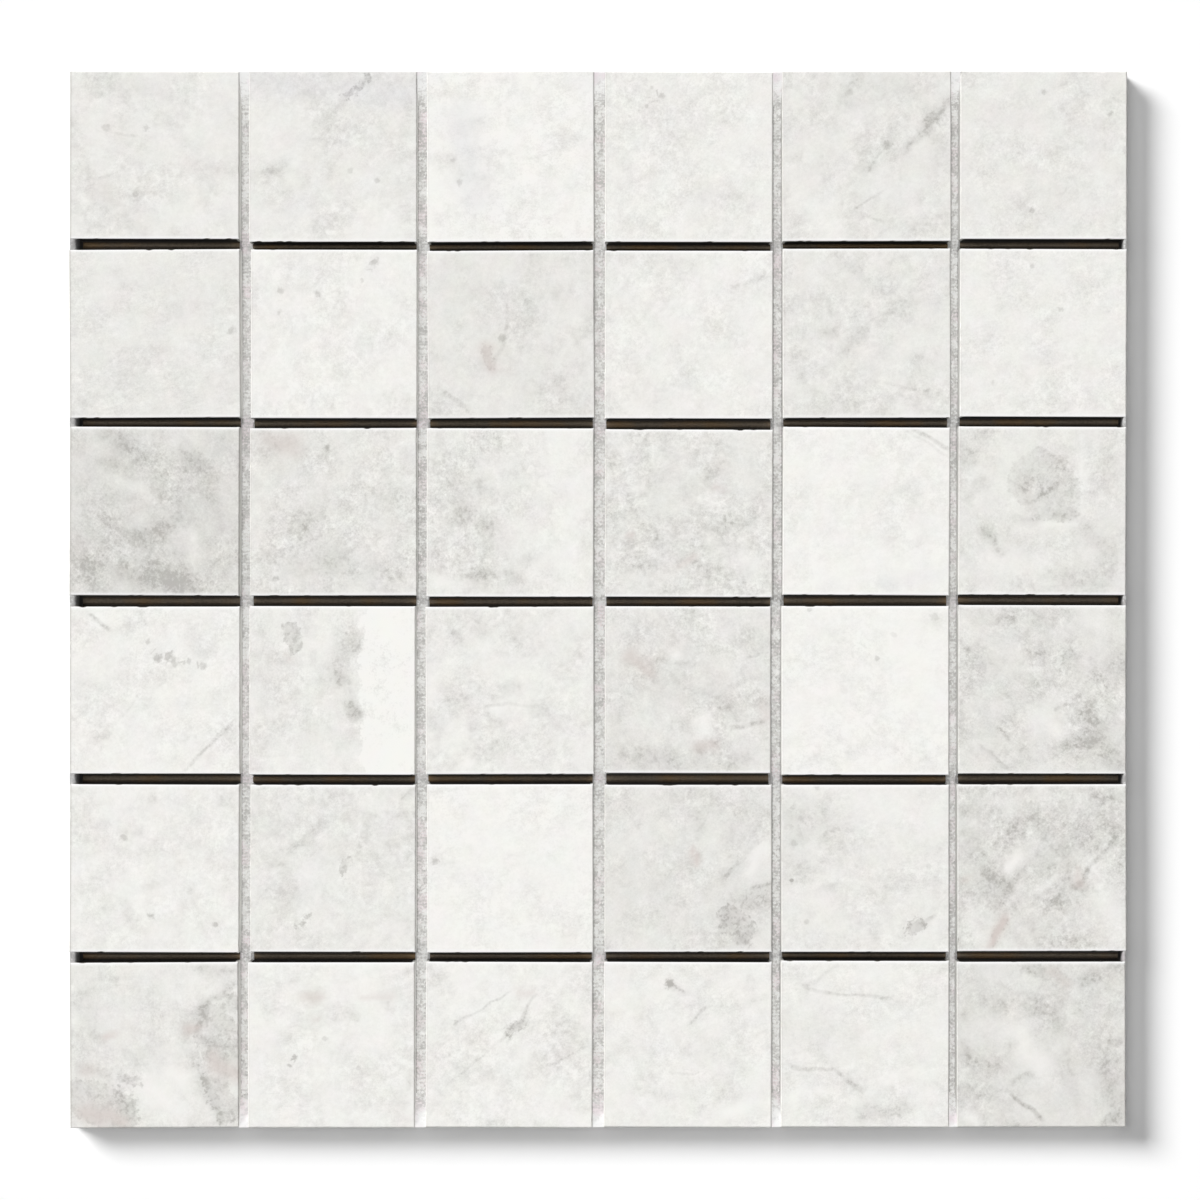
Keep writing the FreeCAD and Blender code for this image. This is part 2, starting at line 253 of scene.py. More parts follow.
# The markings that give each tile its face. Places are shares of the tile, from its left and top
# edge. tone makes the whole tile greyer. smears, warm (pinkish), violet and pale marks are soft:
# from, to, width in mm, strength. patches have a clear outline: from, to, radius in mm, strength.
# veins are thin lines: from, to, half width in mm, strength. specks are small dark crystals:
# place, radius in mm, strength.
tileFaces = {
    (1, 1): {"kind": "quiet", "tone": .09, "grain": 20,
             "smears": [(.15, .05, .5, .12, 6, .35), (.3, .1, .3, .15, 2.5, .4), (.07, .56, .12, .68, 2, .5),
                        (.12, .7, .2, .82, 1.8, .4), (.22, .86, .44, .95, 3.5, .4), (.39, .74, .39, .8, 4, .4)],
             "veins": [(.15, .65, .27, .6, .5, .5), (.24, .37, .42, .38, .4, .4)],
             "warm": [(.2, .7, .3, .8, 4, .4), (.7, .55, .85, .6, 4, .3)], "pale": [(.9, .65, .9, .72, 5, .6), (.7, .85, .8, .9, 6, .4)],
             "specks": [(.21, .34, .8, .7), (.45, .34, .8, .8), (.39, .73, .7, .9)]},
    (1, 2): {"kind": "clouded", "tone": .04, "grain": 40, "violet": [(.05, .05, .95, .13, 9, .9), (.3, .75, .3, .8, 4, .4)],
             "patches": [(.58, .15, .69, .04, 1.1, .5)],
             "smears": [(.07, .6, .2, .56, 2, .7), (.3, .4, .5, .55, 6, .15), (.45, .36, .5, .38, 3, .4),
                        (.3, .68, .37, .64, 2, .5), (.9, .65, .92, .7, 3, .3)],
             "pale": [(.7, .8, .75, .95, 9, .7), (.15, .2, .25, .22, 4, .5)],
             "specks": [(.14, .59, .6, .4), (.6, .58, .7, .5), (.76, .64, .6, .8)]},
    (1, 3): {"kind": "bright", "tone": -.03, "grain": 10, "violet": [(.2, .3, .3, .75, 9, .9), (.85, .03, .95, .05, 5, .4)],
             "smears": [(.07, .51, .14, .52, 2, .6), (.14, .53, .2, .62, 2, .7), (.25, .62, .36, .64, 3, .5),
                        (.24, .3, .36, .3, 2.5, .35), (.85, .62, .85, .62, 7, .15), (.14, .8, .18, .82, 2, .3)],
             "pale": [(.2, .42, .35, .38, 2, .8), (.3, .77, .35, .77, 3, .8), (.05, .68, .07, .76, 6, .8)],
             "specks": [(.19, .65, .7, 1)]},
    (1, 4): {"kind": "bright", "tone": .05, "grain": 60,
             "smears": [(.08, .45, .1, .55, 4, .35), (.25, .15, .5, .35, 9, .2), (.15, .6, .15, .6, 2, .5), (.6, .7, .8, .75, 9, .3)],
             "specks": [(.34, .14, .7, .9), (.28, .09, .4, .6), (.25, .2, .4, .6), (.15, .26, .4, .6)]},
    (1, 5): {"kind": "clouded", "tone": .08, "grain": 45,
             "smears": [(.42, .08, .75, .1, 7, .45), (.88, .28, .93, .5, 5, .5), (.72, .46, .86, .33, 2.6, 1.1), (.9, .27, 1, .15, 3, 1.1), (.35, .17, .45, .02, 1.8, .6),
                        (.05, .5, .1, .47, 2, .6), (.44, .58, .55, .53, 1.6, .5)],
             "pale": [(.1, .75, .3, .9, 9, .7)],
             "veins": [(.42, .82, .6, .7, .4, .6), (.42, .83, .6, .88, .4, .5), (.5, .58, .62, .44, .4, .4)],
             "specks": [(.62, .43, .9, .9), (.4, .12, .7, .5)]},
    (1, 6): {"kind": "quiet", "tone": .08, "grain": 30,
             "smears": [(.55, .7, .65, .72, 4, .4), (.95, .58, .95, .65, 3, .4), (.2, .3, .4, .25, 9, .15)],
             "specks": [(.5, .12, .6, .8), (.9, .25, .6, .8), (.43, .83, .6, .8)]},
    (2, 1): {"kind": "quiet", "tone": .10, "grain": 15,
             "smears": [(.6, .33, .64, .36, 2.5, .4), (.2, .7, .35, .75, 6, .15), (.35, .2, .5, .22, 6, .15)],
             "specks": [(.95, .48, .9, .9)]},
    (2, 2): {"kind": "bright", "tone": .03, "grain": 80, "smears": [(.88, .88, .92, .92, 5, .35), (.53, .24, .54, .35, 1.6, .6)],
             "pale": [(.15, .85, .15, .85, 5, .8)],
             "specks": [(.74, .07, 1, 1.1), (.18, .24, .7, .8), (.17, .37, .6, .7), (.4, .26, .7, .8),
                        (.67, .18, .5, .7)]},
    (2, 3): {"kind": "clouded", "tone": .11, "grain": 70, "warm": [(.37, .6, .39, .68, 4.5, 1)],
             "patches": [(.37, .61, .385, .67, 1.7, .4)],
             "smears": [(.2, .1, .3, .3, 7, .3), (.65, .05, .66, .06, 3, .5), (.78, .25, .78, .26, 3, .4),
                        (.6, .75, .8, .8, 9, .2)],
             "veins": [(.48, .3, .47, .52, .5, .5), (.47, .52, .4, .7, .5, .5), (.08, .85, .25, .95, .8, .6)],
             "specks": [(.45, .52, .9, .9)]},
    (2, 4): {"kind": "bright", "tone": .05, "grain": 50,
             "smears": [(.05, .03, .5, .08, 6, .35), (.86, .18, .94, .15, 1.6, .9), (.75, .22, .78, .22, 1.6, .7),
                        (.15, .75, .35, .88, 10, .25)]},
    (2, 5): {"kind": "clouded", "tone": .07, "grain": 45,
             "smears": [(.3, .05, .68, .3, 2.6, .5), (.24, .5, .32, .5, 2, .9), (.38, .58, .48, .5, 2.4, .9),
                        (.58, .45, .66, .35, 1.8, .7), (.8, .63, .81, .63, 3, .6), (.05, .7, .25, .95, 2, .5),
                        (.4, .93, .42, .93, 2.5, .6)],
             "veins": [(.6, .8, .9, .85, .5, .5)]},
    (2, 6): {"kind": "bright", "tone": .07, "grain": 20,
             "specks": [(.43, .1, .6, .7), (.6, .36, .6, .7), (.2, .8, .5, .5)]},
    (3, 1): {"kind": "heavy", "tone": .22, "grain": 135,
             "smears": [(.2, .05, .38, .12, 4, .8), (.22, .22, .24, .22, 4, .8), (.65, .12, .72, .2, 3.5, .8),
                        (.4, .66, .62, .55, 6, .8), (.5, .88, .7, .93, 6, 1.4), (.08, .75, .12, .83, 4, .7),
                        (.3, .85, .45, .9, 5, .6), (.75, .2, .85, .5, 6, .4),
                        (.33, .82, .33, .82, 3, .7)],
             "pale": [(.48, .07, .72, .1, 6, .5), (.2, .25, .5, .45, 2.5, .6), (.5, .45, .72, .64, 2, .5), (.73, .66, .75, .9, 2, .4)]},
    (3, 2): {"kind": "mottled", "tone": .09, "grain": 30, "warm": [(.1, .07, .25, .1, 6, .8)],
             "smears": [(.1, .05, .28, .1, 5, .5), (.3, .55, .5, .8, 7, .5), (.3, .82, .8, .85, 7, .4),
                        (.45, .35, .46, .5, 2, .5), (.8, .3, .85, .5, 6, .2)],
             "pale": [(.7, .28, .92, .3, 6, .5)],
             "specks": [(.46, .12, .9, 1.1), (.15, .9, .7, .9), (.3, .66, .5, .7)]},
    (3, 3): {"kind": "mottled", "tone": .05, "grain": 100,
             "smears": [(.1, .05, .1, .07, 4, .6), (.3, .33, .36, .36, 4, .6), (.14, .3, .2, .5, 5, .4), (.2, .5, .4, .6, 6, .6),
                        (.29, .85, .37, .89, 4, 1.5), (.5, .88, .56, .91, 3, 1), (.6, .77, .62, .8, 2.4, .6)],
             "pale": [(.07, .9, .12, .92, 4, 1), (.8, .1, .85, .9, 16, .8)]},
    (3, 4): {"kind": "mottled", "tone": .08, "grain": 10,
             "smears": [(.15, .42, .18, .53, 1.8, .9), (.66, .6, .7, .54, 1.8, .8), (.7, .54, .77, .58, 1.8, .8),
                        (.68, .62, .74, .61, 1.6, .6), (.65, .28, .69, .2, 2.5, .5), (.35, .3, .55, .32, 7, .3),
                        (.2, .8, .3, .82, 3, .4), (.55, .83, .66, .82, 1.8, .5), (.3, .6, .45, .75, 7, .25)],
             "pale": [(.1, .08, .12, .12, 5, .6), (.15, .36, .19, .36, 1.8, .9), (.6, .43, .64, .45, 4, .6), (.83, .77, .9, .8, 3, .7)],
             "warm": [(.14, .63, .15, .64, 2, 1), (.67, .35, .7, .36, 2, .8), (.46, .81, .52, .77, 2, .8)]},
    (3, 5): {"kind": "white", "tone": .04, "grain": 25, "violet": [(.6, .92, .9, .9, 4, .6)],
             "veins": [(.77, 0, 1, .14, .6, 1), (.72, 0, 1, .19, .4, .4)],
             "smears": [(.52, .4, .66, .45, 5, .3), (.6, .66, .9, .68, 2.5, .25), (.8, .4, .9, .6, 9, .12)]},
    (3, 6): {"kind": "clouded", "tone": .08, "grain": 60, "patches": [(.48, .3, .56, .4, 8.5, .2)],
             "smears": [(.54, .2, .6, .24, 3.5, .5), (.38, .35, .46, .33, 2, .8), (.49, .42, .54, .37, 1.8, 1.2),
                        (.35, .55, .46, .55, 2.2, .8), (.6, .53, .7, .52, 2, .8), (.16, .62, .27, .74, 1.8, 1.2),
                        (.02, .12, .05, .2, 4, .5), (.12, .04, .14, .04, 1.8, .9), (.1, .4, .16, .33, 3, .6),
                        (.78, .6, .9, .75, 5, .9), (.63, .9, .85, .93, 6, .6), (.87, .2, .88, .36, 4, .35)],
             "pale": [(.73, .2, .75, .52, 1.8, 1), (.5, .6, .7, .57, 1.6, .8), (.2, .8, .5, .85, 8, .4)]},
    (4, 1): {"kind": "bright", "tone": .03, "grain": 45,
             "veins": [(.67, .97, .97, .68, .6, .8), (.11, .04, .23, .15, .5, 1), (.28, .68, .42, .52, .4, .4)],
             "smears": [(.34, .12, .44, .1, 2.2, .9), (.42, .03, .42, .07, 1.8, .6), (.75, .2, .8, .25, 4, .3),
                        (.17, .78, .2, .77, 2, .8), (.08, .4, .15, .6, 6, .2)],
             "pale": [(.14, .04, .24, .12, 1.5, .9)],
             "specks": [(.46, .21, .6, .8), (.52, .31, 1, 1.2), (.59, .3, .9, 1.2), (.62, .35, .6, .8),
                        (.7, .33, .6, .9), (.79, .36, .8, 1)]},
    (4, 2): {"kind": "clouded", "grain": 85,
             "patches": [(.25, .14, .27, .21, 2.6, .4), (.84, .1, .84, .9, 8.2, -.3)],
             "smears": [(.9, .06, .95, .1, 4, .35), (.6, .17, .55, .4, 3.6, .7), (.5, .36, .58, .44, 3.2, .6), (.55, .4, .62, .6, 2.6, .7), (.63, .6, .65, .67, 2, 1.2),
                        (.65, .2, .65, .24, 2, .6), (.44, .44, .5, .48, 2.5, .6), (.35, .7, .55, .8, 6, .35),
                        (.08, .1, .12, .6, 6, .25), (.08, .85, .13, .78, 2, .5), (.38, .28, .4, .36, 2.2, .6),
                        (.2, .55, .3, .52, 2.4, .35)],
             "warm": [(.22, .3, .24, .31, 2, .6)]},
    (4, 3): {"kind": "clouded", "grain": 40, "veins": [(.33, .61, .5, .58, .4, .5), (.5, .58, .68, .59, .4, .5)],
             "smears": [(.27, .06, .32, .12, 4, .6), (.17, .18, .22, .2, 2.6, .9), (.48, .48, .55, .51, 3, .6),
                        (.03, .65, .06, .75, 3, .6), (.27, .68, .3, .72, 2.6, .6), (.38, .66, .46, .68, 2.2, .6),
                        (.3, .88, .31, .88, 2.4, .6), (.38, .86, .4, .79, 2, .8), (.15, .53, .25, .55, 3, .4),
                        (.64, .6, .71, .63, 3.4, .4), (.13, .93, .17, .95, 2, .7), (.55, .15, .8, .2, 9, .25)],
             "pale": [(.27, .93, .36, .95, 4, .6), (.05, .5, .05, .52, 3, .7), (.4, .62, .48, .6, 1.8, .9), (.12, .97, .24, .95, 3, .9)]},
    (4, 4): {"kind": "mottled", "tone": .11, "grain": 120,
             "warm": [(.15, .3, .28, .38, 4, 1), (.95, .6, .97, .65, 3, .7), (.57, .83, .65, .84, 3, .9)],
             "veins": [(.75, .73, .97, .68, .6, .9), (.85, .31, .95, .28, .4, .6)],
             "smears": [(.08, .65, .12, .75, 5, .4), (.14, .3, .3, .42, 2.2, .6), (.35, .33, .5, .34, 1.8, .7), (.58, .85, .68, .82, 3, .7),
                        (.08, .9, .36, .92, 5.5, .9), (.75, .93, .85, .92, 4, .7), (.45, .95, .65, .93, 5, .5),
                        (.7, .6, .8, .63, 3, .6), (.4, .45, .7, .5, 8, .35)],
             "pale": [(.58, .66, .62, .75, 4, 1), (.43, .27, .44, .27, 3, .9), (.78, .71, .85, .72, 2.5, .8)]},
    (4, 5): {"kind": "white", "tone": .02, "grain": 0,
             "smears": [(.88, .07, .94, .12, 4, .4), (.42, .87, .45, .87, 2.4, .5), (.25, .15, .4, .45, 6, .2), (.84, .9, .88, .92, 2, .35)],
             "pale": [(.7, .3, .75, .6, 12, .5)],
             "specks": [(.91, .06, .9, .7), (.57, .31, .5, .8), (.67, .17, .6, .4), (.17, .02, .6, .8),
                        (.37, .5, .8, .3)]},
    (4, 6): {"kind": "heavy", "tone": .09, "grain": 150,
             "veins": [(.57, .62, .66, .58, .5, .7), (.66, .58, .8, .7, .6, .8), (.22, .73, .31, .79, .5, 1),
                       (.12, .83, .3, .98, .6, .7)],
             "smears": [(.23, .1, .3, .06, 2.6, 1), (.44, .04, .47, .08, 2.6, .9), (.07, .27, .1, .26, 2, .8),
                        (.65, .28, .7, .3, 1.6, 1.1), (.8, .4, .88, .46, 1.8, 1.2), (.79, .33, .8, .36, 2, .8),
                        (.92, .2, .96, .4, 5, .5), (.72, .4, .8, .44, 4, .4), (.66, .82, .78, .8, 3, 1),
                        (.8, .8, .95, .95, 7, 1), (.78, .62, .85, .75, 2.6, .8), (.25, .95, .3, .96, 2.6, .6),
                        (.15, .35, .4, .3, 4, .35)],
             "pale": [(.3, .28, .5, .42, 4, .4), (.45, .65, .6, .74, 5, .7), (.75, .05, .85, .1, 5, .5)]},
    (5, 1): {"kind": "quiet", "grain": 75,
             "smears": [(.9, .1, .93, .08, 2, .8), (.5, .08, .5, .1, 1.8, .6), (.3, .3, .42, .29, 1.8, .6),
                        (.3, .72, .37, .8, 2.6, .6), (.18, .75, .24, .72, 1.6, .5), (.62, .5, .68, .48, 1.6, .6),
                        (.95, .45, .97, .5, 3, .4), (.71, .62, .74, .65, 2, .5), (.45, .6, .6, .58, 1.6, .3)],
             "specks": [(.32, .32, .7, 1), (.48, .78, .7, 1.2), (.86, .83, .6, .9)]},
    (5, 2): {"kind": "clouded", "tone": .03, "grain": 45,
             "patches": [(.55, .53, .59, .46, 1.5, .4), (.29, .84, .35, .79, .8, .4)],
             "smears": [(.26, .37, .31, .34, 2, .9), (.4, .27, .4, .27, 1.6, 1), (.65, .4, .68, .42, 2.2, .5),
                        (.68, .3, .75, .2, 3, .45), (.93, .1, .97, .03, 2, .8), (.83, .17, .94, .15, 1.6, .6),
                        (.1, .3, .15, .25, 2.2, .5), (.1, .5, .2, .49, 1.6, .8), (.85, .35, .87, .38, 1.8, .5),
                        (.2, .65, .25, .7, 7, .25)]},
    (5, 3): {"kind": "white", "tone": .02, "grain": 10,
             "smears": [(.04, .43, .1, .48, 2.6, .5), (.6, .5, .85, .9, 10, .15), (.1, .72, .25, .72, 1.6, .3),
                        (.45, .75, .5, .78, 1.8, .4), (.83, .87, .85, .88, 2.4, .4), (.25, .38, .25, .39, 2, .3)],
             "specks": [(.05, .45, .8, 1)]},
    (5, 4): {"kind": "clouded", "tone": .11, "grain": 45, "warm": [(.53, .38, .55, .45, 2, 1.2)],
             "patches": [(.76, .8, .82, .89, 3.8, .24)],
             "veins": [(.7, .56, .97, .28, .6, .5), (.88, .62, 1, .57, .6, .9)],
             "smears": [(.7, .56, .73, .5, 2.2, .6), (.8, .7, .97, .66, 6, .9),
                        (.76, .82, .83, .9, 5, .6), (.7, .8, .76, .76, 2.6, .5),
                        (.81, .93, .84, .93, 2.2, 1), (.68, .95, .7, .95, 2, .7), (.57, .15, .58, .3, 2.2, .6),
                        (.75, .3, .85, .1, 3.2, .5), (.1, .6, .3, .65, 10, .2), (.4, .05, .6, .04, 3, .4)],
             "pale": [(.86, .5, .95, .35, 4, .9)]},
    (5, 5): {"kind": "quiet", "tone": .06, "grain": 20, "patches": [(.77, .865, .82, .85, 1.7, .6)],
             "veins": [(.82, .84, .92, .78, .5, .7)],
             "smears": [(.08, .2, .3, .28, 8, .75), (.05, .35, .1, .5, 6, .5), (.21, .51, .27, .43, 2.2, .6),
                        (.26, .6, .31, .6, 2.2, .5), (.66, .6, .76, .58, 3, .3), (.63, .7, .65, .73, 2.2, .4),
                        (.25, .95, .25, .97, 2.2, .4), (.4, .8, .45, .82, 4, .25)],
             "pale": [(.5, .1, .9, .2, 9, .5)],
             "specks": [(.07, .35, .7, .7), (.06, .57, .4, 1.9), (.15, .82, .5, .6), (.88, .49, .6, .5),
                        (.21, .01, .8, .9)]},
    (5, 6): {"kind": "heavy", "tone": .11, "grain": 45,
             "warm": [(.2, .95, .28, .8, 2.6, 1.6), (.03, .57, .04, .57, 2, 1), (.72, .5, .73, .6, 1.6, .9)],
             "patches": [(.21, .94, .27, .82, 1.2, .4)],
             "veins": [(.7, .62, .95, .3, .7, 1), (.1, .45, .48, .15, .5, .4), (.52, .78, .63, .64, .7, .9)],
             "smears": [(.48, .44, .52, .5, 3.4, .6), (.3, .86, .36, .92, 4, .4), (.3, .3, .45, .2, 2.6, .5), (.45, .2, .6, .4, 3.4, .55), (.62, .4, .65, .6, 2.6, .7),
                        (.58, .72, .61, .69, 2, .9), (.2, .55, .3, .63, 2.8, 1.1), (.3, .62, .4, .5, 2, 1),
                        (.05, .3, .15, .55, 5, .55), (.68, .35, .85, .2, 4.5, .7), (.92, .25, .95, .3, 3, .6),
                        (.72, .6, .75, .62, 2.2, 1), (.12, .65, .25, .68, 4, .6), (.42, .85, .5, .9, 3, .6),
                        (.55, .93, .62, .93, 3, .6), (.8, .05, .9, .07, 2.4, .7), (.04, .17, .05, .17, 2, 1)],
             "pale": [(.5, .07, .53, .1, 5, .45), (.3, .5, .36, .42, 2.2, 1.1), (.5, .63, .55, .57, 2.6, .7), (.82, .5, .95, .9, 7, .7),
                      (.08, .8, .13, .9, 5, .7), (.28, .1, .3, .17, 3, .5)]},
    (6, 1): {"kind": "clouded", "tone": .07, "grain": 95,
             "patches": [(.87, .42, .92, .56, 7, .3), (.98, .25, .98, .25, 2.6, .35), (.86, .72, .93, .9, 3.6, .35),
                         (.1, .82, .3, .92, 6, .3), (.3, .7, .37, .7, 1.6, .35)],
             "smears": [(.08, .22, .12, .36, 5, .4), (.96, .16, .78, .3, 2.4, 1.1), (.78, .3, .69, .44, 2.4, 1), (.72, .62, .88, .93, 2.4, .9),
                        (.07, .6, .22, .68, 2, .8), (.28, .8, .36, .92, 2.4, .8), (.08, .42, .2, .48, 2.4, .5),
                        (.77, .04, .95, .06, 2.4, .9), (.35, .57, .55, .58, 4, .3)],
             "warm": [(.85, .6, .97, .68, 5, 1.1), (.08, .9, .3, .95, 5, 1.1), (.21, .46, .26, .44, 2.2, 1.2),
                      (.14, .63, .1, .65, 3, .7), (.7, .42, .75, .4, 2.2, 1.1)],
             "pale": [(.45, .75, .65, .9, 8, 1), (.6, .65, .68, .72, 3, .9), (.6, .2, .9, .12, 6, .5),
                      (.03, .33, .03, .34, 2, 1.2)]},
    (6, 2): {"kind": "quiet", "tone": -.01, "grain": 0,
             "warm": [(.34, .22, .45, .2, 2.4, .8), (.68, .22, .88, .21, 2.2, .6), (.4, .34, .41, .34, 2, .7)],
             "smears": [(.38, .22, .45, .17, 2.2, .6), (.27, .1, .28, .1, 2, .6), (.6, .28, .64, .33, 2, .6),
                        (.85, .25, .87, .28, 2, .6), (.94, .07, .96, .07, 2, .8), (.96, .68, .97, .72, 2, .9),
                        (.92, .85, .9, .8, 3.4, .4), (.54, .57, .61, .6, 3.4, .3), (.05, .08, .06, .09, 2, .4)],
             "specks": [(.28, .57, .6, 1.3), (.25, .625, .5, 1.2), (.66, .635, .5, .7), (.46, .46, .5, .7)]},
    (6, 3): {"kind": "clouded", "tone": -.05, "grain": 45, "warm": [(.55, .18, .62, .18, 3, .6)],
             "patches": [(.5, .43, .56, .36, 1.3, .35)],
             "veins": [(.12, .75, .53, .4, .4, .45), (.53, .4, .66, .2, .5, .8), (.15, .39, .5, .18, .35, .6),
                       (.72, .63, .96, .52, .5, .5)],
             "smears": [(.48, .45, .57, .36, 2, .5), (.75, .42, .95, .5, 7, .3), (.64, .6, .75, .62, 7, .3),
                        (.8, .07, .9, .03, 1.8, .5), (.05, .1, .1, .1, 3, .4)],
             "pale": [(.88, .24, .93, .32, 5, .7), (.35, .8, .4, .8, 12, .4), (.2, .15, .4, .1, 9, .4)], "specks": [(.18, .37, .5, .7)]},
    (6, 4): {"kind": "quiet", "grain": 30, "veins": [(.4, .14, .47, .17, .4, .8), (.5, .37, .62, .28, .4, .8), (.4, .69, .58, .66, .4, .5)],
             "smears": [(.4, .15, .48, .18, 1.8, .9), (.86, .08, .88, .08, 2, .6), (.95, .23, .88, .26, 2, .5),
                        (.6, .5, .75, .6, 9, .2), (.3, .8, .37, .8, 3, .5), (.67, .83, .7, .8, 1.8, .6)],
             "pale": [(.72, .9, .82, .88, 4, 1.2), (.35, .19, .52, .2, 1.6, .7)],
             "specks": [(.385, .135, 1, 1.8)]},
    (6, 5): {"kind": "bright", "tone": .06, "grain": 15,
             "veins": [(.12, .14, .28, .2, .5, .6), (.26, .2, .65, .22, .5, .8), (.15, .15, .34, .03, .5, .5),
                       (.04, .63, .3, .66, .6, .9), (.28, .65, .5, .78, .6, .7)],
             "smears": [(.4, .7, .47, .77, 3.4, .5), (.48, .92, .7, .9, 4, 1), (.05, .4, .35, .45, 10, .35)],
             "pale": [(.65, .07, .78, .1, 5, .5), (.08, .83, .25, .77, 1.8, 1), (.25, .04, .5, .09, 5, .5), (.6, .71, .85, .66, 1.8, 1)]},
    (6, 6): {"kind": "clouded", "tone": .19, "grain": 45, "warm": [(.55, .06, .65, .12, 3, .6)],
             "veins": [(.31, .79, .51, .96, .6, 1.3), (.37, .02, .62, .18, .6, .3)],
             "smears": [(.5, .25, .6, .38, 4.4, .9), (.4, .03, .58, .08, 3.4, .9), (.76, .11, .85, .1, 2.8, 1),
                        (.05, .56, .2, .65, 3.4, .9), (.03, .5, .08, .57, 2, .9), (.93, .48, .95, .48, 2, 1.3),
                        (.88, .97, .92, .95, 2.6, 1), (.35, .7, .42, .7, 2, .9), (.25, .28, .27, .3, 2, .8),
                        (.02, .32, .05, .33, 2.2, .8), (.65, .6, .7, .8, 4.5, .45), (.9, .6, .95, .92, 5.5, .9),
                        (.35, .98, .4, .98, 2.2, .8), (.14, .2, .2, .25, 3.4, .5), (.95, .03, .97, .06, 3.4, .8),
                        (.05, .78, .25, .8, 3, .5), (.3, .5, .33, .52, 1.8, .7)],
             "pale": [(.33, .4, .5, .65, 6, .8), (.35, .05, .5, .18, 2.4, .5), (.07, .93, .1, .97, 3, 1)]},
}


def tileTree(sizes):
    # A sawn block with finer cells along its edges, an eased and slightly chipped arris round the
    # polished face, and its own measure of place (tilePos) kept before it is laid
    tree, given = newTree("tile blank", sizes)

    def maths(operation, first, second=0.0, third=0.0):
        return addNode(tree, "ShaderNodeMath", {0: first, 1: second, 2: third},
                       operation=operation).outputs[0]

    cube = addNode(tree, "GeometryNodeMeshCube", {
        "Size": addNode(tree, "ShaderNodeCombineXYZ", {
            "X": given["Side X"], "Y": given["Side Y"], "Z": given["Thickness"]}).outputs[0],
        "Vertices X": maths("ADD", given["Cells"], 1.0),
        "Vertices Y": maths("ADD", given["Cells"], 1.0),
        "Vertices Z": 6})
    place = addNode(tree, "ShaderNodeSeparateXYZ",
                    {0: addNode(tree, "GeometryNodeInputPosition").outputs[0]}).outputs

    def towardsEdge(value, side):
        # The outermost cell becomes as wide as the arris, and the others share the rest
        half = maths("MULTIPLY", side, 0.5)
        cell = maths("DIVIDE", side, given["Cells"])
        shrink = maths("DIVIDE", maths("SUBTRACT", half, given["Arris"]), maths("SUBTRACT", half, cell))
        nearEdge = maths("SUBTRACT", half, maths("MULTIPLY", cell, 0.5))
        outer = maths("GREATER_THAN", maths("ABSOLUTE", value), nearEdge)
        inner = maths("MULTIPLY", value, shrink)
        return outer, maths("ADD", maths("MULTIPLY", value, outer),
                            maths("MULTIPLY", inner, maths("SUBTRACT", 1.0, outer)))

    outerX, x = towardsEdge(place["X"], given["Side X"])
    outerY, y = towardsEdge(place["Y"], given["Side Y"])
    halfThick = maths("MULTIPLY", given["Thickness"], 0.5)
    cellZ = maths("MULTIPLY", given["Thickness"], 0.2)
    isTop = maths("GREATER_THAN", place["Z"], maths("SUBTRACT", halfThick, maths("MULTIPLY", cellZ, 0.5)))
    stretch = maths("DIVIDE", maths("SUBTRACT", given["Thickness"], given["Arris"]),
                    maths("SUBTRACT", given["Thickness"], cellZ))
    lowZ = maths("SUBTRACT", maths("MULTIPLY", maths("ADD", place["Z"], halfThick), stretch), halfThick)
    z = maths("ADD", maths("MULTIPLY", place["Z"], isTop),
              maths("MULTIPLY", lowZ, maths("SUBTRACT", 1.0, isTop)))

    # Small chips along the arris, where a noise peaks
    chipNoise = addNode(tree, "ShaderNodeTexNoise", {
        "Vector": addNode(tree, "GeometryNodeInputPosition").outputs[0],
        "W": given["Seed"], "Scale": maths("DIVIDE", 1.0, given["Chip Size"]), "Detail": 1.0},
        noise_dimensions="4D").outputs[0]
    chip = maths("MULTIPLY", maths("MAXIMUM", maths("SUBTRACT", chipNoise, 0.62), 0.0),
                 maths("MULTIPLY", given["Chip Depth"], 8.0))
    ease = maths("ADD", maths("MULTIPLY", given["Arris"], 0.35), chip)
    insetX = maths("MULTIPLY", maths("MULTIPLY", outerX, isTop), ease)
    insetY = maths("MULTIPLY", maths("MULTIPLY", outerY, isTop), ease)
    drop = maths("MULTIPLY", maths("MULTIPLY", maths("MAXIMUM", outerX, outerY), isTop), ease)
    shaped = addNode(tree, "GeometryNodeSetPosition", {
        "Geometry": cube.outputs["Mesh"],
        "Position": addNode(tree, "ShaderNodeCombineXYZ", {
            "X": maths("SUBTRACT", x, maths("MULTIPLY", maths("SIGN", x), insetX)),
            "Y": maths("SUBTRACT", y, maths("MULTIPLY", maths("SIGN", y), insetY)),
            "Z": maths("SUBTRACT", z, drop)}).outputs[0]})
    kept = addNode(tree, "GeometryNodeStoreNamedAttribute", {
        "Geometry": shaped.outputs[0], "Name": "tilePos",
        "Value": addNode(tree, "GeometryNodeInputPosition").outputs[0]}, data_type="FLOAT_VECTOR")
    edges = addNode(tree, "GeometryNodeStoreNamedAttribute", {
        "Geometry": kept.outputs[0], "Name": "cut",
        "Value": addNode(tree, "ShaderNodeCombineXYZ", {
            "X": maths("SUBTRACT", 1.0, isTop),
            "Y": maths("MULTIPLY", isTop, maths("MAXIMUM", outerX, outerY)),
            "Z": 0.0}).outputs[0]}, data_type="FLOAT_VECTOR")
    flat = addNode(tree, "GeometryNodeSetShadeSmooth", {"Geometry": edges.outputs[0], "Shade Smooth": False})
    stone = addNode(tree, "GeometryNodeSetMaterial",
                    {"Geometry": flat.outputs[0], "Material": given["Material"]})

